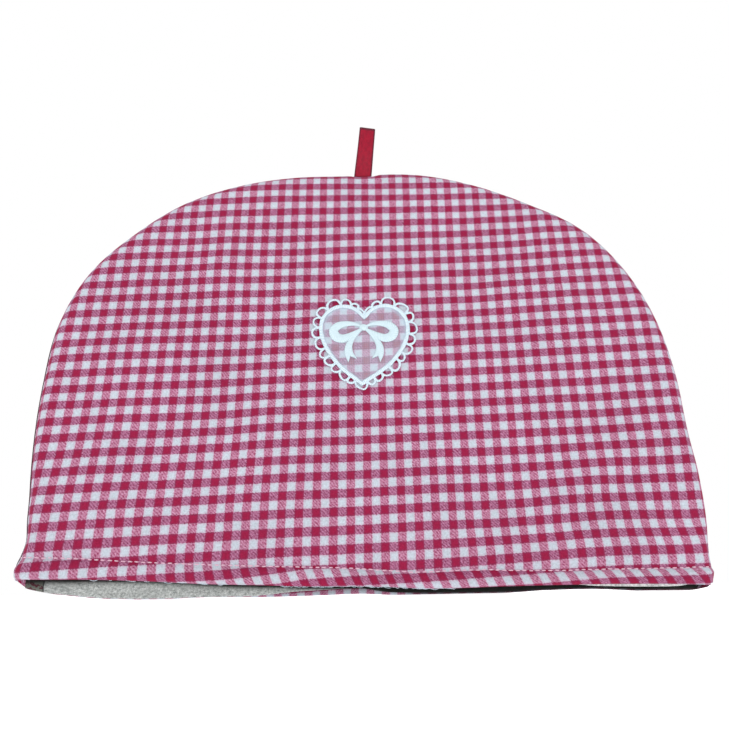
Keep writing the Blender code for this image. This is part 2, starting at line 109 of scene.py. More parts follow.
PULL_HEIGHTS = (20.0, 36.0, 90.0, 150.0, 200.0, 245.0)   # z_mm of the columns below
PULL_ACROSS = (
    (-180.0, -0.60, -0.58, -0.30, -0.15, -0.10, -0.05),
    (-130.0, -0.22, -0.23, -0.10, -0.05, -0.05, 0.0),
    (-85.0, 0.0, 0.0, 0.15, 0.10, 0.05, 0.05),
    (-40.0, 0.05, 0.05, 0.15, 0.15, 0.10, 0.10),
    (0.0, 0.05, 0.05, 0.05, 0.05, 0.05, 0.05),
    (40.0, -0.05, -0.05, -0.05, -0.05, -0.05, 0.0),
    (85.0, 0.0, -0.12, -0.10, -0.10, -0.05, 0.0),
    (130.0, 0.18, 0.06, 0.05, 0.05, 0.05, 0.0),
    (175.0, 0.31, 0.03, 0.34, 0.45, 0.20, 0.10))
PULL_UP = (
    (-180.0, 0.10, 0.05, 0.05, 0.05, 0.0, -0.05),
    (-130.0, 0.05, 0.0, 0.0, 0.05, -0.05, -0.10),
    (-85.0, 0.04, 0.0, 0.10, 0.10, -0.05, -0.20),
    (-40.0, 0.03, 0.0, 0.0, 0.20, 0.10, -0.20),
    (0.0, 0.05, 0.05, 0.0, 0.10, 0.10, -0.05),
    (40.0, 0.04, 0.05, 0.0, 0.10, 0.10, 0.05),
    (85.0, -0.02, 0.09, 0.05, 0.05, 0.10, 0.10),
    (130.0, -0.11, -0.02, 0.05, -0.05, 0.0, 0.05),
    (175.0, 0.02, 0.15, 0.0, -0.10, -0.05, 0.0))
STEP_ASIDE = (  # x_mm, how far the check jumps aside across the stitching
    (-180.0, 0.0), (-50.0, 0.0), (-24.0, 0.06), (60.0, 0.06), (100.0, 0.12),
    (140.0, 0.26), (193.0, 0.28))

HEART_X, HEART_Z = 9.3, 135.7
LOOP_THICK, LOOP_TALL, LOOP_DEEP = 0.9, 40.6, 7.4
LOOP_X, LOOP_LEAN_DEG = 10.1, 5.5
LIFT = 0.35              # gap under what is sewn on


# ------------------------------------------------------------ helpers
def along_table(rows, at, col=1):
    """Read a table with a smooth curve through its rows."""
    xs = np.array([r[0] for r in rows], float)
    ys = np.array([r[col] for r in rows], float)
    n = len(xs)
    slope = np.empty(n)
    for i in range(n):
        a, b = max(i - 1, 0), min(i + 1, n - 1)
        slope[i] = (ys[b] - ys[a]) / (xs[b] - xs[a])
    at = np.clip(np.asarray(at, float), xs[0], xs[-1])
    k = np.clip(np.searchsorted(xs, at, side="right") - 1, 0, n - 2)
    h = xs[k + 1] - xs[k]
    t = (at - xs[k]) / h
    return ((2 * t**3 - 3 * t * t + 1) * ys[k] + (t**3 - 2 * t * t + t) * slope[k] * h
            + (3 * t * t - 2 * t**3) * ys[k + 1] + (t**3 - t * t) * slope[k + 1] * h)


def smoothstep(t):
    t = np.clip(t, 0.0, 1.0)
    return t * t * (3 - 2 * t)


def soft_min(a, b, k):
    """The lesser of two values, rounded where they are within k."""
    return np.minimum(a, b) - np.maximum(k - np.abs(a - b), 0.0) ** 2 / (4 * k)


def lumps(x, z, size, seed):
    """Smooth uneven bumps of about this size, from -1 to 1."""
    grid = np.random.default_rng(seed).uniform(-1, 1, (96, 96))
    u, v = np.asarray(x, float) / size + 400.0, np.asarray(z, float) / size + 400.0
    iu, iv = np.floor(u).astype(int), np.floor(v).astype(int)
    fu, fv = u - iu, v - iv
    fu, fv = fu * fu * (3 - 2 * fu), fv * fv * (3 - 2 * fv)
    g = lambda a, b: grid[a % 96, b % 96]
    return ((g(iu, iv) * (1 - fu) + g(iu + 1, iv) * fu) * (1 - fv)
            + (g(iu, iv + 1) * (1 - fu) + g(iu + 1, iv + 1) * fu) * fv)


def arch_point(deg):
    r = along_table(ARCH, deg)
    a = np.radians(deg)
    return np.stack([r * np.cos(a), r * np.sin(a)], -1)


ARCH_DEG = np.linspace(ARCH[0][0], ARCH[-1][0], 541)
ARCH_LINE = arch_point(ARCH_DEG)
ARCH_RUN = np.concatenate([[0], np.cumsum(np.linalg.norm(np.diff(ARCH_LINE, axis=0), axis=1))])


def near_arch(x, z):
    """Distance to the arch seam, the inward direction and the place along it."""
    p = np.stack([np.ravel(x), np.ravel(z)], -1).astype(float)
    a, ab = ARCH_LINE[:-1], np.diff(ARCH_LINE, axis=0)
    sq = (ab * ab).sum(1)
    normal = np.stack([-ab[:, 1], ab[:, 0]], 1) / np.sqrt(sq)[:, None]
    dist, inn, run = np.empty(len(p)), np.empty((len(p), 2)), np.empty(len(p))
    for i in range(0, len(p), 3000):
        q = p[i:i + 3000]
        d = q[:, None] - a
        t = np.clip((d * ab).sum(-1) / sq, 0, 1)
        off = d - ab * t[..., None]
        r = np.sqrt((off ** 2).sum(-1))
        k = r.argmin(1)
        j = np.arange(len(q))
        dist[i:i + 3000] = r[j, k]
        o = off[j, k]
        far = r[j, k] > 0.4
        inn[i:i + 3000] = np.where(far[:, None], o / np.maximum(r[j, k], 1e-9)[:, None], normal[k])
        run[i:i + 3000] = ARCH_RUN[k] + t[j, k] * np.sqrt(sq[k])
    s = np.shape(x)
    return dist.reshape(s), inn.reshape(*s, 2), run.reshape(s)


def seam_y(z):
    return SEAM_TOP_Y * z / TOP_Z


def flat_depth(side, x, z):
    """The smooth face's distance from the seam plane, its edges apart."""
    zz = np.clip(z, 0, TOP_Z)
    crown = CROWN * (1 - np.clip(np.abs(x) / 185.0, 0, 1) ** 2) * np.sin(np.pi * zz / TOP_Z)
    if side < 0:
        return seam_y(z) - (FRONT_FOOT_Y + z * math.tan(math.radians(FRONT_LEAN_DEG))) + crown
    return BACK_FOOT_Y + (BACK_TOP_Y - BACK_FOOT_Y) * z / TOP_Z - seam_y(z) + crown


def folds(rows, x, z):
    up = np.zeros(np.shape(x))
    for x1, z1, x2, z2, half, high in rows:
        dx, dz = x2 - x1, z2 - z1
        n = math.hypot(dx, dz)
        s = ((x - x1) * dx + (z - z1) * dz) / (n * n)
        d = ((x - x1) * dz - (z - z1) * dx) / n
        up += high * smoothstep((s + 0.25) / 0.4) * smoothstep((1.25 - s) / 0.4) * np.exp(-(d / half) ** 2)
    return up


def wall(z):
    return WALL_FOOT + (WALL_TOP - WALL_FOOT) * np.clip(z / TOP_Z, 0, 1)


def profile(s, full, z, inset=0.0):
    """Depth at a distance s from the seam where the flat face stands full out."""
    m = wall(z)
    full = full - inset
    k = np.minimum(SHOULDER, 0.8 * full)
    a = m * s - inset * np.sqrt(1 + m * m)
    return np.maximum(soft_min(a, full, k), 0.0)


def hem_height(side, x):
    return np.maximum(along_table(FRONT_HEM if side < 0 else BACK_HEM, x), 0.0)


def stitch_height(side, x):
    if side < 0:
        return along_table(STITCH_FRONT, x)
    return hem_height(side, x) + STITCH_BACK


def relief(side, x, z, dist, run):
    """Padding lumps, puckers along seam and stitching, and the main folds."""
    seed = 11 if side < 0 else 31
    up = folds(FRONT_FOLDS if side < 0 else BACK_FOLDS, x, z) * smoothstep(dist / 20.0)
    up += 0.9 * lumps(x, z, 34.0, seed) + 0.42 * lumps(x, z, 15.0, seed + 1)
    up *= smoothstep(dist / 30.0)
    up += 0.5 * lumps(run, dist * 0.35, 7.5, seed + 2) * np.exp(-((dist - 7.0) / 7.0) ** 2)
    above = z - stitch_height(side, x)
    ripple = lumps(x + 0.25 * z, z * 0.22, 4.6, seed + 3)
    up += 0.62 * ripple * np.exp(-(above / 6.5) ** 2) * smoothstep(dist / 14.0)
    up += 0.40 * lumps(x + 0.5 * z, z * 0.3, 9.0, seed + 4) * np.exp(-((above - 12) / 16.0) ** 2)
    return up


def stitch_sink(side, x, z, dist):
    above = z - stitch_height(side, x)
    groove = np.exp(-(above / 1.5) ** 2) + 0.42 * np.exp(-(above / 4.2) ** 2)
    puff = -0.35 * np.exp(-((above + 5.2) / 2.6) ** 2)
    return (1.15 * groove + puff) * smoothstep((dist - 1.0) / 12.0)


def face_y(side, x, z, inset=0.0, near=None):
    """Y of a panel's outer face, or of a layer this deep inside it."""
    dist, _, run = near_arch(x, z) if near is None else near
    full = flat_depth(side, x, z) + relief(side, x, z, dist, run)
    d = profile(dist, full, z, inset)
    d = np.maximum(d - stitch_sink(side, x, z, dist) * np.clip(1 - inset / 14.0, 0, 1), 0.0)
    return seam_y(z) + side * (SEAM_HALF_GAP + d)


def face_grid(side, across, rows):
    """(x, z) over a panel: its foot is the hem, its other sides the arch."""
    lo, hi = ARCH[0][0], ARCH[-1][0]
    p00, p10 = arch_point(hi), arch_point(lo)
    p01, p11 = arch_point(CORNER_LEFT), arch_point(CORNER_RIGHT)
    s = np.linspace(-1, 1, across + 1)
    a = 0.5 + 0.5 * (1.28 * s - 0.28 * s ** 3)
    b = np.asarray(rows, float)
    fx = p00[0] + (p10[0] - p00[0]) * a
    foot = np.stack([fx, hem_height(side, fx) + HEM_ROUND], -1)
    foot[0], foot[-1] = p00 + (0, HEM_ROUND), p10 + (0, HEM_ROUND)
    top = arch_point(CORNER_LEFT + (CORNER_RIGHT - CORNER_LEFT) * a)
    up = b + 0.77 * b * (1 - b)
    low = (1 - smoothstep(b / 0.05))[:, None] * np.array((0, HEM_ROUND))
    left = arch_point(hi + (CORNER_LEFT - hi) * up) + low
    right = arch_point(lo + (CORNER_RIGHT - lo) * up) + low
    A, B = a[:, None, None], b[None, :, None]
    l0, r0 = p00 + (0, HEM_ROUND), p10 + (0, HEM_ROUND)
    return ((1 - B) * foot[:, None] + B * top[:, None] + (1 - A) * left[None] + A * right[None]
            - ((1 - A) * (1 - B) * l0 + A * (1 - B) * r0 + (1 - A) * B * p01 + A * B * p11))


# ------------------------------------------------------------ camera
def photo_camera():
    p, y, r = (math.radians(v) for v in (19.08, 1.43, 1.02))
    fwd = np.array((math.sin(y) * math.cos(p), math.cos(y) * math.cos(p), math.sin(p)))
    rt = np.array((math.cos(y), -math.sin(y), 0.0))
    dn = np.cross(fwd, rt)
    right = math.cos(r) * rt + math.sin(r) * dn
    down = -math.sin(r) * rt + math.cos(r) * dn
    return np.array((0.0, -366.3, 3.4)), right, down, fwd


EYE, EYE_RIGHT, EYE_DOWN, EYE_FWD = photo_camera()
LENS_PX = 650.0


def add_camera():
    cam = bpy.data.cameras.new("camera")
    cam.sensor_width = 36.0
    cam.lens = 36.0 * LENS_PX / 729.0
    cam.clip_start, cam.clip_end = 0.01, 50.0
    ob = bpy.data.objects.new("camera", cam)
    bpy.context.scene.collection.objects.link(ob)
    m = Matrix.Identity(4)
    for row in range(3):
        m[row][0] = EYE_RIGHT[row]
        m[row][1] = -EYE_DOWN[row]
        m[row][2] = -EYE_FWD[row]
        m[row][3] = (EYE[row] + SHIFT[row]) * MM
    ob.matrix_world = m
    bpy.context.scene.camera = ob
    return ob


# ------------------------------------------------------------ check lattice
def check_uv_front(x, z, near):
    """Where each point of the front cloth lies in the gingham's repeat."""
    dist, inn, _ = near
    lean = math.radians(FRONT_LEAN_DEG)
    m = wall(z)
    full = flat_depth(-1, x, z)
    k = np.minimum(SHOULDER, 0.8 * full)
    flat_from = (full + k) / m
    gap = np.maximum(flat_from - dist, 0.0)
    # step in to where the face is flat, and count the cloth round the turn
    x1, z1 = x + inn[..., 0] * gap, z + inn[..., 1] * gap
    run = np.zeros(np.shape(x))
    steps = 24
    for i in range(steps):
        sa = dist + gap * (i / steps)
        sb = dist + gap * ((i + 1) / steps)
        dd = profile(sb, full, z) - profile(sa, full, z)
        run += np.hypot(sb - sa, dd)
    y1 = seam_y(z1) - SEAM_HALF_GAP - flat_depth(-1, x1, z1)
    # carried along the line of sight to the flat of the panel
    n = np.array((0.0, -math.cos(lean), math.sin(lean)))
    p0 = np.array((0.0, FRONT_FOOT_Y, 0.0))
    d = np.stack([x1, y1, z1], -1) - EYE
    t = ((p0 - EYE) @ n) / (d @ n)
    q = EYE + d * t[..., None]
    X, S = q[..., 0], q[..., 2] / math.cos(lean)
    X = X - inn[..., 0] * run
    S = S - inn[..., 1] * run
    under = stitch_height(-1, x) - z
    X = X - along_table(BAND_LEAN, x) * np.maximum(under, 0.0)
    u, v = check_uv(X, S)
    v = v + along_table(SWALLOWED, x) * smoothstep((under + 0.9) / 1.8)
    u = u - along_table(STEP_ASIDE, x) * smoothstep((under + 0.9) / 1.8)
    return u - pull(PULL_ACROSS, x, z), v - pull(PULL_UP, x, z)


def pull(rows, x, z):
    """How far a stretch of cloth has been pulled out of square there."""
    hs = np.array(PULL_HEIGHTS)
    cols = [along_table(rows, x, i + 1) for i in range(len(hs))]
    out = np.where(z <= hs[0], cols[0], cols[-1])
    for i in range(len(hs) - 1):
        f = smoothstep((z - hs[i]) / (hs[i + 1] - hs[i]))
        out = np.where((z > hs[i]) & (z <= hs[i + 1]), cols[i] * (1 - f) + cols[i + 1] * f, out)
    return out


def check_uv(X, S):
    ct, st = math.cos(CHECK_TURN), math.sin(CHECK_TURN)
    cs, ss = math.cos(CHECK_TURN + CHECK_SKEW), math.sin(CHECK_TURN + CHECK_SKEW)
    dx, ds = X - CHECK_X0, S - CHECK_S0
    det = ct * cs + st * ss
    a = (dx * cs + ds * ss) / det
    b = (ds * ct - dx * st) / det
    return a / CHECK_ACROSS, -b / CHECK_UP


# ------------------------------------------------------------ mesh helpers
def to_world(p):
    return (np.asarray(p, float) + SHIFT) * MM


def make_object(name, verts, faces, material, uv=None, values=None, smooth=True):
    """A mesh object from millimetre points, quads or triangles, with one UV
    per point if given and named per-point values."""
    verts = to_world(verts)
    faces = [tuple(int(i) for i in f) for f in faces]
    me = bpy.data.meshes.new(name)
    me.from_pydata(verts.tolist(), [], faces)
    me.update()
    if uv is not None:
        layer = me.uv_layers.new(name="cloth")
        loop = np.empty(len(me.loops), np.int32)
        me.loops.foreach_get("vertex_index", loop)
        layer.uv.foreach_set("vector", np.asarray(uv, np.float32)[loop].ravel())
    for key, val in (values or {}).items():
        att = me.attributes.new(key, "FLOAT", "POINT")
        att.data.foreach_set("value", np.asarray(val, np.float32).ravel())
    if smooth:
        me.shade_smooth()
    me.materials.append(material)
    ob = bpy.data.objects.new(name, me)
    bpy.context.scene.collection.objects.link(ob)
    return ob


def outward(verts, quads):
    """Flip the faces of a closed body that is inside out."""
    v, q = np.asarray(verts, float), np.asarray(quads)
    v = v - v.mean(0)
    a, b, c = v[q[:, 0]], v[q[:, 1]], v[q[:, 2]]
    vol = (a * np.cross(b, c)).sum()
    if q.shape[1] == 4:
        vol += (a * np.cross(c, v[q[:, 3]])).sum()
    return q[:, ::-1] if vol < 0 else q


def ring_loft(sections, pairs):
    """Closed sections (n, k, 3) joined side by side, their ends closed by
    joining opposite points."""
    n, k = sections.shape[:2]
    idx = np.arange(n * k).reshape(n, k)
    a, b = idx[:-1], idx[1:]
    q = [np.stack([a, np.roll(a, -1, 1), np.roll(b, -1, 1), b], -1).reshape(-1, 4)]
    for end in (idx[0], idx[-1]):
        cap = [(end[j], end[j + 1], end[k - 2 - j], end[k - 1 - j]) for j in range(pairs)
               if j + 1 < k - 2 - j]
        cap = np.array(cap)
        q.append(cap if end is idx[-1] else cap[:, ::-1])
    return np.concatenate(q)


# ------------------------------------------------------------ materials
def linear(r, g, b):
    out = []
    for v in (r, g, b):
        v /= 255.0
        out.append(v / 12.92 if v <= 0.04045 else ((v + 0.055) / 1.055) ** 2.4)
    return (*out, 1.0)


class Nodes:
    """Small helper to write a node tree."""

    def __init__(self, name):
        self.mat = bpy.data.materials.new(name)
        self.mat.use_nodes = True
        self.t = self.mat.node_tree
        self.t.nodes.clear()
        self.out = self.t.nodes.new("ShaderNodeOutputMaterial")
        self.bsdf = self.t.nodes.new("ShaderNodeBsdfPrincipled")
        self.t.links.new(self.bsdf.outputs[0], self.out.inputs["Surface"])

    def set(self, **kw):
        for k, v in kw.items():
            self.bsdf.inputs[k.replace("_", " ")].default_value = v

    def plug(self, sock, value):
        if hasattr(value, "is_output"):
            self.t.links.new(value, sock)
        else:
            sock.default_value = value

    def math(self, op, a, b=None, c=None, clamp=False):
        n = self.t.nodes.new("ShaderNodeMath")
        n.operation, n.use_clamp = op, clamp
        for i, v in enumerate((a, b, c)):
            if v is not None:
                self.plug(n.inputs[i], v)
        return n.outputs[0]

    def ramp(self, v, lo, hi, a=0.0, b=1.0, kind="SMOOTHSTEP"):
        n = self.t.nodes.new("ShaderNodeMapRange")
        n.interpolation_type = kind
        for key, val in (("Value", v), ("From Min", lo), ("From Max", hi), ("To Min", a), ("To Max", b)):
            self.plug(n.inputs[key], val)
        return n.outputs[0]

    def mix(self, f, a, b, blend="MIX"):
        n = self.t.nodes.new("ShaderNodeMix")
        n.data_type, n.blend_type = "RGBA", blend
        self.plug(n.inputs["Factor"], f)
        for sock, v in ((n.inputs[6], a), (n.inputs[7], b)):
            self.plug(sock, v)
        return n.outputs[2]

    def uv(self, name="cloth"):
        n = self.t.nodes.new("ShaderNodeUVMap")
        n.uv_map = name
        s = self.t.nodes.new("ShaderNodeSeparateXYZ")
        self.t.links.new(n.outputs[0], s.inputs[0])
        return n.outputs[0], s.outputs[0], s.outputs[1]

    def attr(self, name):
        n = self.t.nodes.new("ShaderNodeAttribute")
        n.attribute_name = name
        return n.outputs["Fac"]

    def obj(self):
        return self.t.nodes.new("ShaderNodeTexCoord").outputs["Object"]

    def noise(self, vec, scale, detail=2.0, rough=0.5, out=0):
        n = self.t.nodes.new("ShaderNodeTexNoise")
        self.plug(n.inputs["Vector"], vec)
        n.inputs["Scale"].default_value = scale
        n.inputs["Detail"].default_value = detail
        n.inputs["Roughness"].default_value = rough
        return n.outputs[out]

    def xyz(self, x, y, z=0.0):
        n = self.t.nodes.new("ShaderNodeCombineXYZ")
        for i, v in enumerate((x, y, z)):
            self.plug(n.inputs[i], v)
        return n.outputs[0]

    def bump(self, height, strength, distance, normal=None):
        n = self.t.nodes.new("ShaderNodeBump")
        n.inputs["Strength"].default_value = strength
        n.inputs["Distance"].default_value = distance
        self.plug(n.inputs["Height"], height)
        if normal is not None:
            self.t.links.new(normal, n.inputs["Normal"])
        return n.outputs[0]


def gingham_colour(n, u, v):
    """Colour, height and grain of the checked cloth at (u, v) in repeats."""
    # threads wander a little, so the edges of the squares are uneven
    wob_u = n.noise(n.xyz(n.math("MULTIPLY", u, 3.0), n.math("MULTIPLY", v, 13.0)), 1.0, 2.0, 0.6)
    wob_v = n.noise(n.xyz(n.math("MULTIPLY", u, 13.0), n.math("MULTIPLY", v, 3.0), 7.3), 1.0, 2.0, 0.6)
    uu = n.math("MULTIPLY_ADD", n.math("SUBTRACT", wob_u, 0.5), 0.13, u)
    vv = n.math("MULTIPLY_ADD", n.math("SUBTRACT", wob_v, 0.5), 0.13, v)
    # 1 in a red stripe, 0 in a white one: white is centred on whole numbers
    su = n.ramp(n.math("PINGPONG", uu, 0.5), 0.225, 0.275)
    sv = n.ramp(n.math("PINGPONG", vv, 0.5), 0.225, 0.275)
    # twill ribs that run down to the right, broken up by uneven threads
    stray = n.noise(n.xyz(n.math("MULTIPLY", u, 2.2), n.math("MULTIPLY", v, 2.2), 5.0), 1.0, 2.0, 0.6)
    slant = n.math("MULTIPLY", n.math("SUBTRACT", u, v), 5.2)
    slant = n.math("MULTIPLY_ADD", n.math("SUBTRACT", stray, 0.5), 1.6, slant)
    rib = n.ramp(n.math("PINGPONG", slant, 0.5), 0.06, 0.44)
    grain = n.noise(n.xyz(n.math("MULTIPLY", u, 8.5), n.math("MULTIPLY", v, 8.5), 3.1), 1.0, 2.0, 0.75)
    weft = n.math("ADD", n.math("MULTIPLY", rib, 0.34), n.ramp(grain, 0.34, 0.66, 0.0, 0.66, "LINEAR"), clamp=True)
    # how far inside its square a point lies
    inside = n.math("MULTIPLY",
                    n.ramp(n.math("ABSOLUTE", n.math("SUBTRACT", n.math("PINGPONG", uu, 0.5), 0.25)), 0.03, 0.13),
                    n.ramp(n.math("ABSOLUTE", n.math("SUBTRACT", n.math("PINGPONG", vv, 0.5), 0.25)), 0.03, 0.13))
    w = n.mix(inside, linear(186, 180, 194), linear(184, 193, 203))
    r = n.mix(inside, linear(133, 36, 72), linear(143, 26, 63))
    # red warp under white weft, and white warp under red weft
    pink_a = n.mix(weft, linear(135, 42, 82), linear(198, 148, 174))
    pink_b = n.mix(weft, linear(114, 30, 69), linear(182, 126, 158))
    col = n.mix(su, w, pink_a)
    col = n.mix(sv, col, pink_b)
    col = n.mix(n.math("MULTIPLY", su, sv), col, r)
    # uneven dye and a little age
    big = n.noise(n.xyz(u, v, 1.7), 0.33, 3.0, 0.6)
    col = n.mix(1.0, col, n.xyz_color(n.ramp(big, 0.3, 0.7, 0.805, 0.88, "LINEAR")), "MULTIPLY")
    fine = n.noise(n.xyz(n.math("MULTIPLY", u, 9.0), n.math("MULTIPLY", v, 9.0), 9.0), 1.0, 2.5, 0.8)
    col = n.mix(1.0, col, n.xyz_color(n.ramp(fine, 0.34, 0.66, 0.81, 1.14, "LINEAR")), "MULTIPLY")
    thread = n.math("ADD", n.math("MULTIPLY", n.math("SINE", n.math("MULTIPLY", u, 2 * math.pi * 26)), 0.25),
                    n.math("MULTIPLY", n.math("SINE", n.math("MULTIPLY", v, 2 * math.pi * 26)), 0.25))
    return col, n.math("ADD", n.math("MULTIPLY", rib, 0.6), n.math("ADD", thread, grain)), grain


def gingham_material(name):
    n = Nodes(name)
    vec, u, v = n.uv()
    col, height, grain = gingham_colour(n, u, v)
    # painted shade: the cloth is darkened where it turns into the seam, and inside the back hem on the right
    edge = n.attr("edge")
    col = n.mix(edge, col, n.mix(1.0, col, (0.12, 0.07, 0.09, 1.0), "MULTIPLY"))
    n.plug(n.bsdf.inputs["Base Color"], col)
    n.plug(n.bsdf.inputs["Normal"], n.bump(height, 0.4, 0.00018))
    n.plug(n.bsdf.inputs["Roughness"], n.ramp(grain, 0.2, 0.8, 0.80, 0.94, "LINEAR"))
    n.set(Specular_IOR_Level=0.12)
    return n.mat


def xyz_color(self, v):
    n = self.t.nodes.new("ShaderNodeCombineColor")
    for i in range(3):
        self.plug(n.inputs[i], v)
    return n.outputs[0]


Nodes.xyz_color = xyz_color


def lining_material():
    """Plain napped cotton: u and v are millimetres across and up."""
    n = Nodes("lining_cotton")
    vec, u, v = n.uv()
    slub = n.noise(n.xyz(n.math("MULTIPLY", u, 0.35), n.math("MULTIPLY", v, 1.6)), 1.0, 3.0, 0.7)
    fluff = n.noise(n.xyz(u, v, 4.0), 0.85, 3.0, 0.8)
    warp = n.math("SINE", n.math("MULTIPLY", u, 2 * math.pi * 2.1))
    weft = n.math("SINE", n.math("MULTIPLY", v, 2 * math.pi * 2.1))
    weave = n.math("MULTIPLY", warp, weft)
    mixed = n.math("ADD", n.math("MULTIPLY", slub, 0.35), n.math("MULTIPLY", fluff, 0.65))
    col = n.mix(n.ramp(mixed, 0.38, 0.62, 0.0, 1.0, "LINEAR"), linear(138, 143, 141), linear(228, 231, 229))
    # side seam; beyond it the turned-in gingham, its colours darkened as painted shade; and painted shade inside
    seam_at = n.math("SUBTRACT", u, n.math("MULTIPLY", n.math("SUBTRACT", v, 4.0), 0.12))
    past = n.ramp(n.math("ADD", seam_at, LINING_SEAM_X), -0.2, 0.2, 1.0, 0.0)
    line = n.ramp(n.math("ABSOLUTE", n.math("ADD", seam_at, LINING_SEAM_X)), 0.08, 0.34, 1.0, 0.0)
    mottle = n.ramp(n.noise(n.xyz(n.math("MULTIPLY", u, 2.2), v, 8.0), 0.55, 2.0, 0.6), 0.50, 0.60)
    # the turned-in gingham's colours are darker copies of the gingham's: painted shade
    turned = n.mix(mottle, linear(112, 116, 108), linear(88, 36, 50))
    col = n.mix(past, col, turned)
    col = n.mix(n.math("MULTIPLY", line, 0.9), col, linear(48, 44, 46))
    # painted shade: the dark attribute darkens the lining nearly to black where shade falls inside the cosy
    dark = n.attr("dark")
    col = n.mix(dark, col, n.mix(1.0, col, (0.022, 0.022, 0.020, 1.0), "MULTIPLY"))
    n.plug(n.bsdf.inputs["Base Color"], col)
    h = n.math("ADD", n.math("MULTIPLY", weave, 0.3), fluff)
    n.plug(n.bsdf.inputs["Normal"], n.bump(h, 0.4, 0.0002))
    n.plug(n.bsdf.inputs["Roughness"], n.ramp(fluff, 0.2, 0.8, 0.82, 0.97, "LINEAR"))
    n.set(Sheen_Weight=0.15, Specular_IOR_Level=0.15)
    return n.mat


def ribbon_material():
    n = Nodes("ribbon_cotton")
    vec, u, v = n.uv()          # u across in widths, v along in mm
    edge = n.ramp(n.math("ABSOLUTE", n.math("SUBTRACT", u, 0.5)), 0.37, 0.46)
    rib = n.math("SINE", n.math("MULTIPLY", v, 2 * math.pi * 1.6))
    cord = n.math("SINE", n.math("MULTIPLY", u, 2 * math.pi * 17.0))
    twill = n.math("SINE", n.math("MULTIPLY", n.math("ADD", n.math("MULTIPLY", u, 9.0), v), 2 * math.pi * 0.8))
    blotch = n.noise(n.xyz(n.math("MULTIPLY", u, 6.0), n.math("MULTIPLY", v, 0.22)), 1.0, 3.0, 0.6)
    fleck = n.noise(n.xyz(n.math("MULTIPLY", u, 30.0), n.math("MULTIPLY", v, 3.0), 5.0), 1.0, 2.0, 0.6)
    col = n.mix(n.ramp(blotch, 0.3, 0.7), linear(110, 2, 28), linear(136, 5, 34))
    col = n.mix(n.ramp(fleck, 0.35, 0.75, 0.0, 0.4, "LINEAR"), col, linear(170, 26, 58))
    col = n.mix(n.math("MULTIPLY", edge, 0.85), col, linear(78, 10, 32))
    # painted shade where the loop folds over at the top and where it goes into the seam
    fold_painted_shade = n.attr("fold_painted_shade")
    col = n.mix(n.math("MULTIPLY", fold_painted_shade, 0.9), col, linear(70, 12, 30))
    n.plug(n.bsdf.inputs["Base Color"], col)
    h = n.math("ADD", n.math("MULTIPLY", rib, 0.5), n.math("ADD", n.math("MULTIPLY", cord, 0.3), n.math("MULTIPLY", twill, 0.4)))
    n.plug(n.bsdf.inputs["Normal"], n.bump(h, 0.35, 0.00015))
    n.plug(n.bsdf.inputs["Roughness"], n.ramp(fleck, 0.2, 0.8, 0.55, 0.72, "LINEAR"))
    n.set(Sheen_Weight=0.04, Specular_IOR_Level=0.12)
    return n.mat


def organza_material():
    """A sheer veil laid flat on the checked cloth, which shows through it."""
    n = Nodes("organza")
    vec, u, v = n.uv()
    under, height, grain = gingham_colour(n, u, v)
    haze = n.noise(n.xyz(u, v, 2.0), 1.3, 3.0, 0.6)
    warp = n.math("SINE", n.math("MULTIPLY", u, 2 * math.pi * 7.0))
    weft = n.math("SINE", n.math("MULTIPLY", v, 2 * math.pi * 7.0))
    net = n.math("MULTIPLY", n.math("ADD", warp, weft), 0.035)
    veil = n.math("ADD", n.ramp(haze, 0.3, 0.7, 0.31, 0.41, "LINEAR"), net)
    rim = n.attr("rim")
    veil = n.math("ADD", veil, n.math("MULTIPLY", rim, 0.4), clamp=True)
    tint = n.mix(haze, linear(154, 173, 188), linear(168, 187, 200))
    n.plug(n.bsdf.inputs["Base Color"], n.mix(veil, under, tint))
    n.plug(n.bsdf.inputs["Normal"], n.bump(n.math("ADD", height, n.math("ADD", warp, weft)), 0.3, 0.0001))
    n.plug(n.bsdf.inputs["Roughness"], n.ramp(haze, 0.2, 0.8, 0.6, 0.75, "LINEAR"))
    n.set(Specular_IOR_Level=0.15)
    return n.mat


def thread_material(name, light, dark, pitch, rough=0.7, sheen=0.15, bump=0.5):
    """Close-laid embroidery or sewing thread: u runs along in mm."""
    n = Nodes(name)
    vec, u, v = n.uv()
    lay = n.math("SINE", n.math("MULTIPLY", n.math("ADD", u, n.math("MULTIPLY", v, 0.35)), 2 * math.pi / pitch))
    wobble = n.noise(n.xyz(n.math("MULTIPLY", u, 1.4), n.math("MULTIPLY", v, 1.4)), 1.0, 3.0, 0.65)
    f = n.ramp(n.math("ADD", n.math("MULTIPLY", lay, 0.22), wobble), 0.25, 0.8, 0.0, 1.0, "LINEAR")
    n.plug(n.bsdf.inputs["Base Color"], n.mix(f, linear(*dark), linear(*light)))
    n.plug(n.bsdf.inputs["Normal"], n.bump(n.math("ADD", n.math("MULTIPLY", lay, 0.5), wobble), bump, 0.00015))
    n.plug(n.bsdf.inputs["Roughness"], n.ramp(wobble, 0.2, 0.8, rough - 0.08, rough + 0.1, "LINEAR"))
    n.set(Sheen_Weight=sheen, Specular_IOR_Level=0.25)
    return n.mat


# ------------------------------------------------------------ panels
SEAM_LIP = 0.9           # how far the seam stands out past the padding
LOOP_DIP = 1.6           # how far the loop pulls the seam down


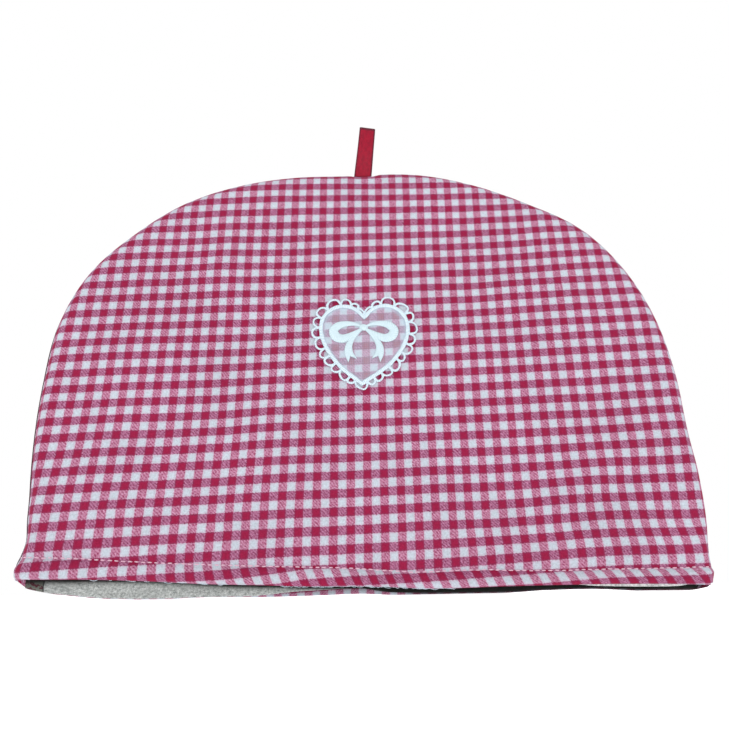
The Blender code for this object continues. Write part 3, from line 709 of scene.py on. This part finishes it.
def build_panel(side, name, material, across, rows):
    g = face_grid(side, across, rows)
    x, z = g[..., 0].copy(), g[..., 1].copy()
    near = near_arch(x, z)
    dist = near[0].copy()
    dist[0], dist[-1], dist[:, -1] = 0.0, 0.0, 0.0
    near = (dist, near[1], near[2])
    y_out = face_y(side, x, z, 0.0, near)
    y_in = face_y(side, x, z, PAD_THICK, near)
    u, v = check_uv_front(x, z, near) if side < 0 else check_uv_back(x, z, near)
    lip = SEAM_LIP * np.exp(-(dist / 0.5) ** 2) * smoothstep((z - hem_height(side, x) - 3.0) / 8.0)
    x, z = x - near[1][..., 0] * lip, z - near[1][..., 1] * lip
    z = z - LOOP_DIP * np.exp(-((x - LOOP_X - 1.6) / 8.0) ** 4) * np.exp(-(dist / 9.0) ** 2) * (z > 200)
    # keep the body a little thick right at the seam
    y_in = np.where(side * (y_out - y_in) < 0.25, y_out - side * 0.25, y_in)
    outer = np.stack([x, y_out, z], -1)
    inner = np.stack([x, y_in, z], -1)
    n, m = x.shape
    # the hem rolls under in a round and goes up inside
    turns = 9
    foot_o, foot_i = outer[:, 0], inner[:, 0]
    ring = []
    for k in range(1, turns):
        a = math.pi * k / turns
        w = 0.5 - 0.5 * math.cos(a)
        p = foot_o * (1 - w) + foot_i * w
        p[:, 2] = foot_o[:, 2] - HEM_ROUND * math.sin(a) ** 0.8
        ring.append(p)
    turn = np.stack(ring, 1)
    sections = np.concatenate([outer[:, ::-1], turn, inner], 1)
    k = sections.shape[1]
    run = np.zeros((n, k))
    low = np.linalg.norm(np.diff(sections, axis=1), axis=2)
    run[:, 1:] = np.cumsum(low, 1)
    hem_at = run[:, m - 1:m]
    uu = np.empty((n, k)); vv = np.empty((n, k))
    uu[:, :m], vv[:, :m] = u[:, ::-1], v[:, ::-1]
    beyond = run[:, m:] - hem_at
    lean = along_table(BAND_LEAN, x[:, :1]) if side < 0 else 0.0
    uu[:, m:] = u[:, :1] - lean * beyond / CHECK_ACROSS
    vv[:, m:] = v[:, :1] + beyond / CHECK_UP
    # painted shade along the seam, carried in the edge attribute
    edge = np.zeros((n, k))
    seam_painted_shade = np.exp(-(dist / 1.25) ** 2)
    edge[:, :m] = seam_painted_shade[:, ::-1]
    if side > 0:
        # painted shade: the inside of the back hem is painted dark on the right
        edge[:, m:] = 0.85 * smoothstep((x[:, :1] - 22.0) / 22.0)
    faces = outward(sections.reshape(-1, 3), ring_loft(sections, m - 1))
    ob = make_object(name, sections.reshape(-1, 3), faces, material,
                     uv=np.stack([uu.ravel(), vv.ravel()], -1), values={"edge": edge.ravel()})
    return ob


def check_uv_back(x, z, near):
    dist, inn, _ = near
    m = wall(z)
    full = flat_depth(1, x, z)
    k = np.minimum(SHOULDER, 0.8 * full)
    gap = np.maximum((full + k) / m - dist, 0.0)
    x1, z1 = x + inn[..., 0] * gap, z + inn[..., 1] * gap
    run = np.zeros(np.shape(x))
    for i in range(16):
        sa, sb = dist + gap * (i / 16), dist + gap * ((i + 1) / 16)
        run += np.hypot(sb - sa, profile(sb, full, z) - profile(sa, full, z))
    X, S = x1 - inn[..., 0] * run, z1 * 1.004 - inn[..., 1] * run
    X = X + 2.2 * np.sin(S / 96.0) + 0.018 * S
    S = S + 1.6 * np.sin(X / 120.0 + 0.6)
    return X / CHECK_ACROSS + 0.25, -S / CHECK_UP + 0.74


# lining edges above the hem's lowest line
FRONT_LINING_EDGE = (  # x_mm, above the hem
    (-176.0, 3.0), (-60.0, 2.6), (10.0, 2.2), (60.0, 2.0), (110.0, 0.4),
    (128.0, -0.9), (165.0, -0.9), (178.0, 1.5))
BACK_LINING_EDGE = (  # x_mm, above the hem
    (-176.0, 0.8), (-120.0, 0.45), (-60.0, 0.5), (-44.0, 1.7), (-30.0, 2.7),
    (6.0, 3.0), (20.0, 1.6), (60.0, 0.8), (178.0, 0.8))


LINING_SEAM_X = 167.3    # the side seam inside, this far left of the middle
# painted shade inside the cosy, on the back lining
INSIDE_PAINTED_SHADE = (  # x_mm, how dark the painted shade is at the front hem's level, how far down it reaches
    (-180.0, 1.35, 3.4), (-150.0, 1.25, 2.8), (-60.0, 1.25, 2.2), (-35.0, 1.3, 1.7),
    (0.0, 1.4, 1.9), (18.0, 1.5, 3.5), (35.0, 1.6, 8.0), (185.0, 1.6, 8.0))


def build_lining(side, name, material, across, rows):
    g = face_grid(side, across, rows)
    x, z = g[..., 0], g[..., 1]
    hem = hem_height(side, x)
    # the lining is sewn in a little inside the seam
    xs = x * (1 - 6.5 / 190.0)
    grow = smoothstep((z - hem - HEM_ROUND) / 60.0)
    zs = z - 7.0 * (z / TOP_Z) ** 1.0 * grow
    edge = along_table(FRONT_LINING_EDGE if side < 0 else BACK_LINING_EDGE, xs)
    low = np.exp(-(z - hem - HEM_ROUND) / 6.0)
    zs = zs + (hem_height(side, xs) - hem) * low + (edge - HEM_ROUND) * low
    near = near_arch(xs, zs)
    a = PAD_THICK + LAYER_GAP
    b = a + LINING_THICK
    ya = face_y(side, xs, zs, a, near)
    yb = face_y(side, xs, zs, b, near)
    # slack of the loose cloth
    sag = 0.5 * lumps(xs, zs, 22.0, 71 if side < 0 else 72) * smoothstep(near[0] / 30.0)
    ya, yb = ya + side * -0.2, yb - side * (0.25 + np.abs(sag))
    yb = np.where(side * (ya - yb) < 0.5, ya - side * 0.5, yb)
    pa, pb = np.stack([xs, ya, zs], -1), np.stack([xs, yb, zs], -1)
    sections = np.concatenate([pa[:, ::-1], pb], 1)
    faces = outward(sections.reshape(-1, 3), ring_loft(sections, x.shape[1] - 1))
    uv = np.stack([sections[..., 0].ravel(), sections[..., 2].ravel()], -1)
    # painted shade: the back lining is painted dark in a band at the level of the front hem, standing in for the shade
    # inside the cosy
    px, pz = sections[..., 0], sections[..., 2]
    level = 1.19 * hem_height(-1, px) - 0.65
    reach = along_table(INSIDE_PAINTED_SHADE, px, 2)
    dark = along_table(INSIDE_PAINTED_SHADE, px, 1) * np.exp(-(np.maximum(level - pz, 0.0) / reach) ** 2)
    dark = dark * (1 - smoothstep((pz - level - 5.0) / 18.0)) * (side > 0)
    return make_object(name, sections.reshape(-1, 3), faces, material, uv=uv,
                       values={"dark": np.minimum(dark, 1.0).ravel()})


# ------------------------------------------------------------ on the front
def on_front(x, z, lift):
    """Points over the front face, lifted off it along its lean."""
    x, z = np.asarray(x, float), np.asarray(z, float)
    y = face_y(-1, x, z)
    lean = math.radians(FRONT_LEAN_DEG)
    return np.stack([x, y - lift * math.cos(lean), z + lift * math.sin(lean)], -1)


HEART = (  # degrees from the top, radius_mm
    (0.0, 16.9), (4.0, 18.6), (9.0, 21.3), (17.0, 24.7), (28.0, 27.6),
    (40.0, 28.7), (52.0, 28.2), (65.0, 26.2), (79.0, 23.5), (96.0, 20.8),
    (117.0, 18.9), (144.0, 18.8), (164.0, 20.5), (174.0, 22.4), (180.0, 24.2))


def heart_point(deg, grow=0.0):
    """A point of the heart, round from the cleft, clockwise from the front."""
    off = np.abs((np.asarray(deg, float) + 180.0) % 360.0 - 180.0)
    r = along_table(HEART, off) + grow
    a = np.radians(deg)
    x, z = r * np.sin(a) * 1.045 - 0.3, r * np.cos(a)
    return np.stack([x - 2.0 * np.clip(-z / 24.0, 0, 1.2) ** 2, z], -1)


def tube(centre, across, lift, flat, sides=10, closed=True):
    """A raised cord along (n, 2) points in the heart's plane: across and lift
    are its half width and half height; flat turns its foot down."""
    n = len(centre)
    if closed:
        d = np.roll(centre, -1, 0) - np.roll(centre, 1, 0)
    else:
        d = np.gradient(centre, axis=0)
    nrm = np.stack([-d[:, 1], d[:, 0]], 1)
    nrm /= np.maximum(np.linalg.norm(nrm, axis=1), 1e-9)[:, None]
    across = np.broadcast_to(across, (n,))
    lift = np.broadcast_to(lift, (n,))
    pts, uvs = [], []
    run = np.concatenate([[0], np.cumsum(np.linalg.norm(np.diff(centre, axis=0), axis=1))])
    for k in range(sides):
        a = 2 * math.pi * k / sides
        p = centre + nrm * (math.cos(a) * across)[:, None]
        h = flat + lift * (1 + math.sin(a))
        pts.append(on_front(HEART_X + p[:, 0], HEART_Z + p[:, 1], h))
        uvs.append(np.stack([run, np.full(n, k / sides * 3.0)], -1))
    v = np.stack(pts, 1)
    uv = np.stack(uvs, 1)
    idx = np.arange(n * sides).reshape(n, sides)
    a, b = (idx, np.roll(idx, -1, 0)) if closed else (idx[:-1], idx[1:])
    q = np.stack([a, np.roll(a, -1, 1), np.roll(b, -1, 1), b], -1).reshape(-1, 4).tolist()
    if not closed:
        q.append(tuple(idx[0][::-1]))
        q.append(tuple(idx[-1]))
    return v.reshape(-1, 3), q, uv.reshape(-1, 2)


def join(parts):
    vs, fs, us, base = [], [], [], 0
    for v, f, u in parts:
        vs.append(v)
        us.append(u)
        fs += [tuple(i + base for i in q) for q in f]
        base += len(v)
    return np.concatenate(vs), fs, np.concatenate(us)


def turned_out(v, f):
    """The faces of one closed tube, turned so that they point out."""
    v = np.asarray(v) - np.asarray(v).mean(0)
    vol = 0.0
    for q in f:
        for i in range(1, len(q) - 1):
            vol += float(np.dot(v[q[0]], np.cross(v[q[i]], v[q[i + 1]])))
    return [tuple(q[::-1]) for q in f] if vol < 0 else [tuple(q) for q in f]


def build_heart(material):
    rings, count = 26, 160
    deg = np.arange(count) * 360.0 / count
    rim = heart_point(deg, 0.3)
    pts, uv = [np.zeros((1, 2))], None
    for k in range(1, rings + 1):
        pts.append(rim * (k / rings))
    flat = np.concatenate(pts)
    puff = 0.12 * lumps(flat[:, 0], flat[:, 1], 6.0, 5)
    hx, hz = HEART_X + flat[:, 0], HEART_Z + flat[:, 1]
    v = on_front(hx, hz, LIFT + 0.12 + puff)
    cu, cv = check_uv_front(hx, hz, near_arch(hx, hz))
    rim_near = np.concatenate([[0.0], np.repeat(np.arange(1, rings + 1) / rings, count)])
    rim_near = smoothstep((rim_near - 0.86) / 0.12)
    f = [(0, 1 + j, 1 + (j + 1) % count) for j in range(count)]
    for k in range(rings - 1):
        a = 1 + k * count
        for j in range(count):
            jj = (j + 1) % count
            f.append((a + j, a + count + j, a + count + jj, a + jj))
    ob = make_object("heart_organza", v, f, material, uv=np.stack([cu, cv], -1),
                     values={"rim": rim_near})
    return ob, flat


SCALLOPS = (  # start_deg, end_deg, out_mm, lean_mm
    (3, 12, 2.6, 0.3), (12, 21, 3.4, 0.4), (21, 35, 5.4, 0.1), (35, 50, 4.8, 0.9),
    (50, 61, 4.6, -0.5), (61, 76, 4.9, 0.4), (76, 91, 4.4, 0.2), (91, 106, 4.9, -0.6),
    (106, 119, 4.0, 0.5), (119, 137, 4.9, 0.8), (137, 152, 4.4, -0.6),
    (152, 164, 4.2, 0.6), (164, 173, 3.6, 0.2), (173, 189, 4.3, -0.8),
    (189, 199, 3.7, 0.5), (199, 217, 4.4, -0.9), (217, 232, 4.7, 0.5),
    (232, 249, 4.6, 0.7), (249, 263, 4.9, -0.4), (263, 280, 4.6, 0.3),
    (280, 293, 4.8, -0.3), (293, 305, 4.2, 0.6), (305, 318, 4.9, -0.3),
    (318, 333, 5.2, 0.6), (333, 343, 4.6, -0.4), (343, 350, 3.2, 0.3),
    (350, 358, 2.4, -0.2))


def build_lace(material):
    parts = []
    deg = np.linspace(0, 360, 361)[:-1]
    c = heart_point(deg, 0.2)
    wide = 1.15 + 0.08 * np.sin(np.radians(deg) * 31) + 0.06 * np.sin(np.radians(deg) * 17)
    v, f, u = tube(c, wide, 0.42, LIFT, 10, True)
    parts.append((v, turned_out(v, f), u))
    for k, (a, b, out, skew) in enumerate(SCALLOPS):
        t = np.linspace(-0.04, 1.04, 19)
        base = heart_point(a + (b - a) * t, 0.9)
        wid = heart_point(a + (b - a) * t, 1.9) - base
        wid /= np.linalg.norm(wid, axis=1)[:, None]
        tc = np.clip(t, 0, 1)
        # a round loop: it swells past its feet on both sides
        s = np.sin(math.pi * tc)
        d = heart_point(b, 0.9) - heart_point(a, 0.9)
        span = np.linalg.norm(d)
        d /= span
        mid = (heart_point(a, 0.9) + heart_point(b, 0.9)) / 2
        nrm = np.array((-d[1], d[0]))
        if nrm @ mid < 0:
            nrm = -nrm
        ang = math.pi * (1 - tc)
        xx = np.cos(ang) * span * (0.50 + 0.07 * s)
        zz = s ** 0.8 * (out - 0.62 + 0.5 * abs(math.sin(math.radians((a + b) / 2))))
        follow = (base - (mid + (tc - 0.5)[:, None] * span * d))
        xx = xx + skew * s * s
        p = mid + d * xx[:, None] + nrm * zz[:, None] + follow * 0.6
        p = p + 0.16 * np.stack([np.sin(5.1 * tc + k * 1.9), np.cos(4.3 * tc + k * 2.7)], -1) * s[:, None]
        r = 0.56 + 0.07 * math.sin(k * 2.3) + 0.16 * np.cos(math.pi * tc) ** 2 + 0.05 * np.sin(tc * 19 + k)
        v, f, u = tube(p, r, 0.36, LIFT + 0.04 + 0.06 * (k % 2), 8, False)
        parts.append((v, turned_out(v, f), u))
    v, f, u = join(parts)
    return make_object("lace_scallops", v, f, material, uv=u)


BOW_LOOP = (  # along, x, z, half_width : from the knot out along the top and back
    (0.0, 1.2, 11.2, 0.6), (1.0, 5.4, 12.8, 1.15), (2.0, 10.0, 13.0, 1.75),
    (3.0, 14.4, 11.8, 2.3), (4.0, 17.3, 8.6, 2.6), (5.0, 16.0, 4.7, 2.8),
    (6.0, 12.2, 3.4, 2.6), (7.0, 8.3, 5.0, 1.95), (8.0, 4.6, 7.5, 1.1),
    (9.0, 1.4, 9.6, 0.6))
BOW_TAIL = (  # along, x, z, half_width
    (0.0, 1.0, 9.6, 0.7), (1.0, 3.8, 6.6, 0.95), (2.0, 6.8, 2.8, 1.4),
    (3.0, 8.7, -1.4, 2.0), (4.0, 8.7, -5.6, 2.5), (5.0, 7.2, -9.2, 2.6))
BOW_SHIFT = -0.7         # the bow sits a little left of the heart's middle
BOW_NOTCH = 3.0


def ribbon_strip(rows, mirror, steps, level, notch=0.0, slip=0.0):
    t = np.linspace(0, rows[-1][0], steps + 1)
    c = np.stack([along_table(rows, t, 1) * mirror, along_table(rows, t, 2)], -1)
    w = along_table(rows, t, 3)
    d = np.gradient(c, axis=0)
    d /= np.linalg.norm(d, axis=1)[:, None]
    nrm = np.stack([-d[:, 1], d[:, 0]], 1)
    across = np.linspace(-1, 1, 11)
    reach = smoothstep((t / t[-1] - 0.55) / 0.45)
    top, low, uvt = [], [], []
    for a in across:
        p = c + nrm * (w * a)[:, None] + d * (notch * (abs(a) ** 0.9 - 0.55) * reach)[:, None]
        x, z = HEART_X + p[:, 0] + slip, HEART_Z + p[:, 1]
        dome = 0.62 * math.sqrt(max(1 - a * a * 0.96, 0.0)) + 0.08
        top.append(on_front(x, z, level + dome))
        low.append(on_front(x, z, level))
        uvt.append(np.stack([t * 4.0, np.full(len(t), a * 2.5)], -1))
    top, low = np.stack(top, 1), np.stack(low, 1)
    sec = np.concatenate([top, low[:, ::-1]], 1)
    uv = np.concatenate([np.stack(uvt, 1), np.stack(uvt, 1)[:, ::-1]], 1)
    n, k = sec.shape[:2]
    idx = np.arange(n * k).reshape(n, k)
    q = np.stack([idx[:-1], np.roll(idx[:-1], -1, 1), np.roll(idx[1:], -1, 1), idx[1:]], -1).reshape(-1, 4).tolist()
    h = len(across)
    for end, flip in ((idx[0], False), (idx[-1], True)):
        for j in range(h - 1):
            f = (end[j], end[j + 1], end[k - 2 - j], end[k - 1 - j])
            q.append(f if flip else f[::-1])
    v = sec.reshape(-1, 3)
    return v, turned_out(v, q), uv.reshape(-1, 2)


def build_bow(material):
    parts = []
    level = LIFT + 0.22
    for mirror in (1, -1):
        parts.append(ribbon_strip(BOW_TAIL, mirror, 30, level, BOW_NOTCH, BOW_SHIFT))
        parts.append(ribbon_strip(BOW_LOOP, mirror, 60, level + 0.12, 0.0, BOW_SHIFT))
    # the knot
    rings, count = 7, 20
    pts = []
    for i in range(rings + 1):
        a = math.pi / 2 * i / rings
        for j in range(count):
            b = 2 * math.pi * j / count
            pts.append((math.cos(b) * math.cos(a) * 2.6 + BOW_SHIFT, math.sin(b) * math.cos(a) * 2.1 + 10.6,
                        level + 0.1 + 1.0 * math.sin(a)))
    pts = np.array(pts)
    base = pts[:count].copy()
    base[:, 2] = level
    pts = np.concatenate([base, pts])
    v = on_front(HEART_X + pts[:, 0], HEART_Z + pts[:, 1], pts[:, 2])
    f = []
    for i in range(rings + 1):
        for j in range(count):
            jj = (j + 1) % count
            f.append((i * count + j, i * count + jj, (i + 1) * count + jj, (i + 1) * count + j))
    f.append(tuple(range(count))[::-1])
    f.append(tuple(range((rings + 1) * count, (rings + 2) * count)))
    parts.append((v, turned_out(v, f), pts[:, :2] * 1.0))
    v, f, u = join(parts)
    return make_object("bow_satin", v, f, material, uv=u)


# ------------------------------------------------------------ ribbon loop


def build_loop(material):
    seat = float(arch_point(np.array(88.0))[1]) - LOOP_DIP - 3.4
    y0 = float(seam_y(seat))
    lean = math.tan(math.radians(LOOP_LEAN_DEG))
    r = LOOP_DEEP / 2 - LOOP_THICK / 2
    tall = LOOP_TALL + 3.9 - LOOP_THICK
    path, back = [], []
    for t in np.linspace(0, 1, 40):
        # the front end is sewn over the edge of the cloth, the back end behind it
        out = r + 3.2 * (1 - float(smoothstep(t / 0.7))) - 0.4 * math.sin(math.pi * t)
        path.append((-out, t * (tall - r)))
        out = 0.6 + (r - 0.6) * float(smoothstep(t / 0.5)) - 0.5 * math.sin(math.pi * t) * (1 - t)
        back.append((out, t * (tall - r)))
    for a in np.linspace(0, math.pi, 17)[1:-1]:
        path.append((-r * math.cos(a), tall - r + r * math.sin(a) * 0.82))
    path = np.array(path + back[::-1])
    n = len(path)
    d = np.gradient(path, axis=0)
    d /= np.linalg.norm(d, axis=1)[:, None]
    nrm = np.stack([-d[:, 1], d[:, 0]], 1)          # points out of the loop
    if (nrm[5] @ np.array((-1.0, 0.0))) < 0:
        nrm = -nrm
    run = np.concatenate([[0], np.cumsum(np.linalg.norm(np.diff(path, axis=0), axis=1))])
    c = np.linspace(-0.5, 0.5, 15)
    rows, uvs, fold_painted_shade = [], [], []
    ring = [(s, 0.5) for s in c] + [(s, -0.5) for s in c[::-1]]
    for s, o in ring:
        high = path[:, 1]
        wide = 11.3 - 0.8 * smoothstep(high / tall)
        rim = 1 - 0.45 * (abs(s) > 0.46)
        off = o * LOOP_THICK * rim
        y = path[:, 0] + nrm[:, 0] * off
        z = high + nrm[:, 1] * off
        y = y + 0.35 * np.sin(z / 9.0) * (s + 0.2)
        x = LOOP_X + s * wide + z * lean
        z = z - s * wide * lean * 1.9 * smoothstep(z / tall)
        rows.append(np.stack([x, y0 + y, seat + z], -1))
        uvs.append(np.stack([np.full(n, s + 0.5), run], -1))
        # painted shade at the top fold and at the foot of the loop
        fold_painted_shade.append(np.maximum(smoothstep((high - (tall - 4.0)) / 0.9), 0.5 * smoothstep((0.9 - high) / 0.6)))
    sec, uv = np.stack(rows, 1), np.stack(uvs, 1)
    k = sec.shape[1]
    q = ring_loft(sec, k // 2 - 1)
    v = sec.reshape(-1, 3)
    return make_object("loop_ribbon", v, outward(v, q), material, uv=uv.reshape(-1, 2),
                       values={"fold_painted_shade": np.stack(fold_painted_shade, 1).ravel()})


# ------------------------------------------------------------ sewing thread
def build_stitches(side, name, material):
    rng = np.random.default_rng(4 if side < 0 else 8)
    lo, hi = -171.0, 184.0
    xs = np.arange(lo, hi, 3.35)
    parts = []
    for x0 in xs:
        xc = x0 + rng.uniform(-0.15, 0.15)
        half = 1.12 + rng.uniform(-0.12, 0.12)
        tilt = rng.uniform(-0.06, 0.06)
        t = np.linspace(-1, 1, 9)
        x = xc + t * half
        up = stitch_height(side, x) + t * tilt * half + 0.12 * rng.uniform(-1, 1)
        y = face_y(side, x, up)
        r = 0.37 * np.sqrt(np.clip(1 - (np.abs(t) ** 3.0), 0.03, 1))
        bulge = 0.30 * (1 - t * t) - 0.05
        d = np.stack([x, y + side * bulge, up], -1)
        ring = []
        for k in range(6):
            a = 2 * math.pi * k / 6
            ring.append(d + np.stack([0 * r, side * r * math.cos(a), r * math.sin(a)], -1))
        sec = np.stack(ring, 1)
        idx = np.arange(sec.shape[0] * 6).reshape(-1, 6)
        q = np.stack([idx[:-1], np.roll(idx[:-1], -1, 1), np.roll(idx[1:], -1, 1), idx[1:]], -1).reshape(-1, 4).tolist()
        q.append(tuple(idx[0][::-1]))
        q.append(tuple(idx[-1]))
        v = sec.reshape(-1, 3)
        u = np.stack([np.repeat(x, 6), np.tile(np.arange(6) / 6.0, len(x))], -1)
        parts.append((v, turned_out(v, q), u))
    v, f, u = join(parts)
    return make_object(name, v, f, material, uv=u)


def build_loose_threads(material):
    """Short frayed ends under the front hem."""
    rng = np.random.default_rng(21)
    parts = []
    for x0 in np.concatenate([np.arange(-36.0, 52.0, 2.1), np.arange(-130.0, -60.0, 9.0)]):
        x0 = x0 + rng.uniform(-0.8, 0.8)
        long = rng.uniform(2.0, 6.5)
        t = np.linspace(0, 1, 8)
        x = x0 + t * long
        drop = rng.uniform(0.05, 0.75)
        z = hem_height(-1, x) + 0.25 - drop * np.sin(math.pi * t * rng.uniform(0.7, 1.4))
        y = face_y(-1, x, hem_height(-1, x) + HEM_ROUND) + 1.4 + rng.uniform(0.0, 2.2) + 0.5 * np.sin(3 * t)
        r = 0.13 + 0.05 * rng.uniform(-1, 1)
        sec = np.stack([np.stack([x, y + r * math.cos(a), z + r * math.sin(a)], -1)
                        for a in np.arange(5) * 2 * math.pi / 5], 1)
        idx = np.arange(sec.shape[0] * 5).reshape(-1, 5)
        q = np.stack([idx[:-1], np.roll(idx[:-1], -1, 1), np.roll(idx[1:], -1, 1), idx[1:]], -1).reshape(-1, 4).tolist()
        q += [tuple(idx[0][::-1]), tuple(idx[-1])]
        v = sec.reshape(-1, 3)
        u = np.stack([np.repeat(x, 5), np.tile(np.arange(5) / 5.0, len(x))], -1)
        parts.append((v, turned_out(v, q), u))
    v, f, u = join(parts)
    return make_object("loose_threads", v, f, material, uv=u)


# ------------------------------------------------------------ build
gingham = gingham_material("gingham_cloth")
cotton = lining_material()
ribbon = ribbon_material()
organza = organza_material()
lace_thread = thread_material("lace_thread", (208, 220, 228), (158, 180, 192), 1.0, 0.7, 0.1, 0.6)
satin_thread = thread_material("satin_thread", (198, 214, 220), (162, 184, 192), 0.9, 0.55, 0.1, 0.5)
white_thread = thread_material("sewing_thread", (218, 188, 202), (186, 138, 160), 0.6, 0.6, 0.1, 0.2)

rows_fine = np.concatenate([np.linspace(0, 0.085, 40, endpoint=False),
                            np.linspace(0.085, 0.93, 86, endpoint=False),
                            np.linspace(0.93, 1.0, 18)])
rows_back = np.concatenate([np.linspace(0, 0.085, 26, endpoint=False),
                            np.linspace(0.085, 0.93, 62, endpoint=False),
                            np.linspace(0.93, 1.0, 13)])
rows_in = np.concatenate([np.linspace(0, 0.07, 24, endpoint=False), np.linspace(0.07, 1.0, 48)])

front = build_panel(-1, "front_panel_cloth", gingham, 260, rows_fine)
back = build_panel(1, "back_panel_cloth", gingham, 200, rows_back)
lining_f = build_lining(-1, "lining_front_cloth", cotton, 130, rows_in)
lining_b = build_lining(1, "lining_back_cloth", cotton, 150, rows_in)
loop = build_loop(ribbon)
heart, _ = build_heart(organza)
lace = build_lace(lace_thread)
bow = build_bow(satin_thread)
stitch_f = build_stitches(-1, "topstitch_front", white_thread)
stitch_b = build_stitches(1, "topstitch_back", white_thread)
frayed = build_loose_threads(lace_thread)

for ob, node, slot in ((front, "front_panel", "gingham"), (back, "back_panel", "gingham"),
                       (lining_f, "lining_front", "lining_cotton"),
                       (lining_b, "lining_back", "lining_cotton"),
                       (loop, "hanging_loop", "ribbon"), (heart, "heart_patch", "organza"),
                       (lace, "lace_edge", "lace"), (bow, "bow", "satin")):
    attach(ob, "root")
    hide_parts(node)
for ob in (stitch_f, stitch_b, frayed):
    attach(ob, "root")


# ------------------------------------------------------------ studio
def studio():
    world = bpy.data.worlds.new("studio")
    world.use_nodes = True
    bg = world.node_tree.nodes["Background"]
    bg.inputs[0].default_value = (1.0, 1.0, 1.0, 1.0)
    bg.inputs[1].default_value = 1.0
    bpy.context.scene.world = world
    me = bpy.data.meshes.new("floor")
    s = 6.0
    me.from_pydata([(-s, -s, 0), (s, -s, 0), (s, s, 0), (-s, s, 0)], [], [(0, 1, 2, 3)])
    me.update()
    mat = bpy.data.materials.new("pale_floor")
    mat.use_nodes = True
    b = mat.node_tree.nodes["Principled BSDF"]
    b.inputs["Base Color"].default_value = (0.96, 0.96, 0.96, 1)
    b.inputs["Roughness"].default_value = 0.9
    b.inputs["Specular IOR Level"].default_value = 0.1
    b.inputs["Emission Color"].default_value = (1, 1, 1, 1)
    b.inputs["Emission Strength"].default_value = 0.8      # painted light: the floor glows, evenly white where the cosy would shade it, and lights the cosy from below
    me.materials.append(mat)
    floor = bpy.data.objects.new("floor", me)
    floor.location = (0, 0, -0.0001)
    bpy.context.scene.collection.objects.link(floor)

    def area(name, loc, aim, size_x, size_y, power):
        l = bpy.data.lights.new(name, "AREA")
        l.shape = "RECTANGLE"
        l.size, l.size_y = size_x, size_y
        l.energy = power
        o = bpy.data.objects.new(name, l)
        o.location = loc
        o.rotation_mode = "QUATERNION"
        o.rotation_quaternion = (Vector(aim) - Vector(loc)).to_track_quat("-Z", "Y")
        bpy.context.scene.collection.objects.link(o)
        o.visible_camera = False
        return o
    area("key", (-0.9, -1.2, 1.5), (0, 0, 0.12), 0.8, 0.8, 2.0)
    area("low_front", (0.0, -1.5, 0.032), (0, 0, 0.012), 1.6, 0.056, 4.2)
    area("overhead", (0.0, 0.1, 1.7), (0, 0, 0), 1.6, 1.6, 7.5)


studio()
add_camera()
bpy.context.scene.view_settings.view_transform = "Standard"
bpy.context.scene.view_settings.look = "None"
bpy.context.scene.view_settings.exposure = 0.0
bpy.context.scene.view_settings.gamma = 1.0

bpy.context.view_layer.update()
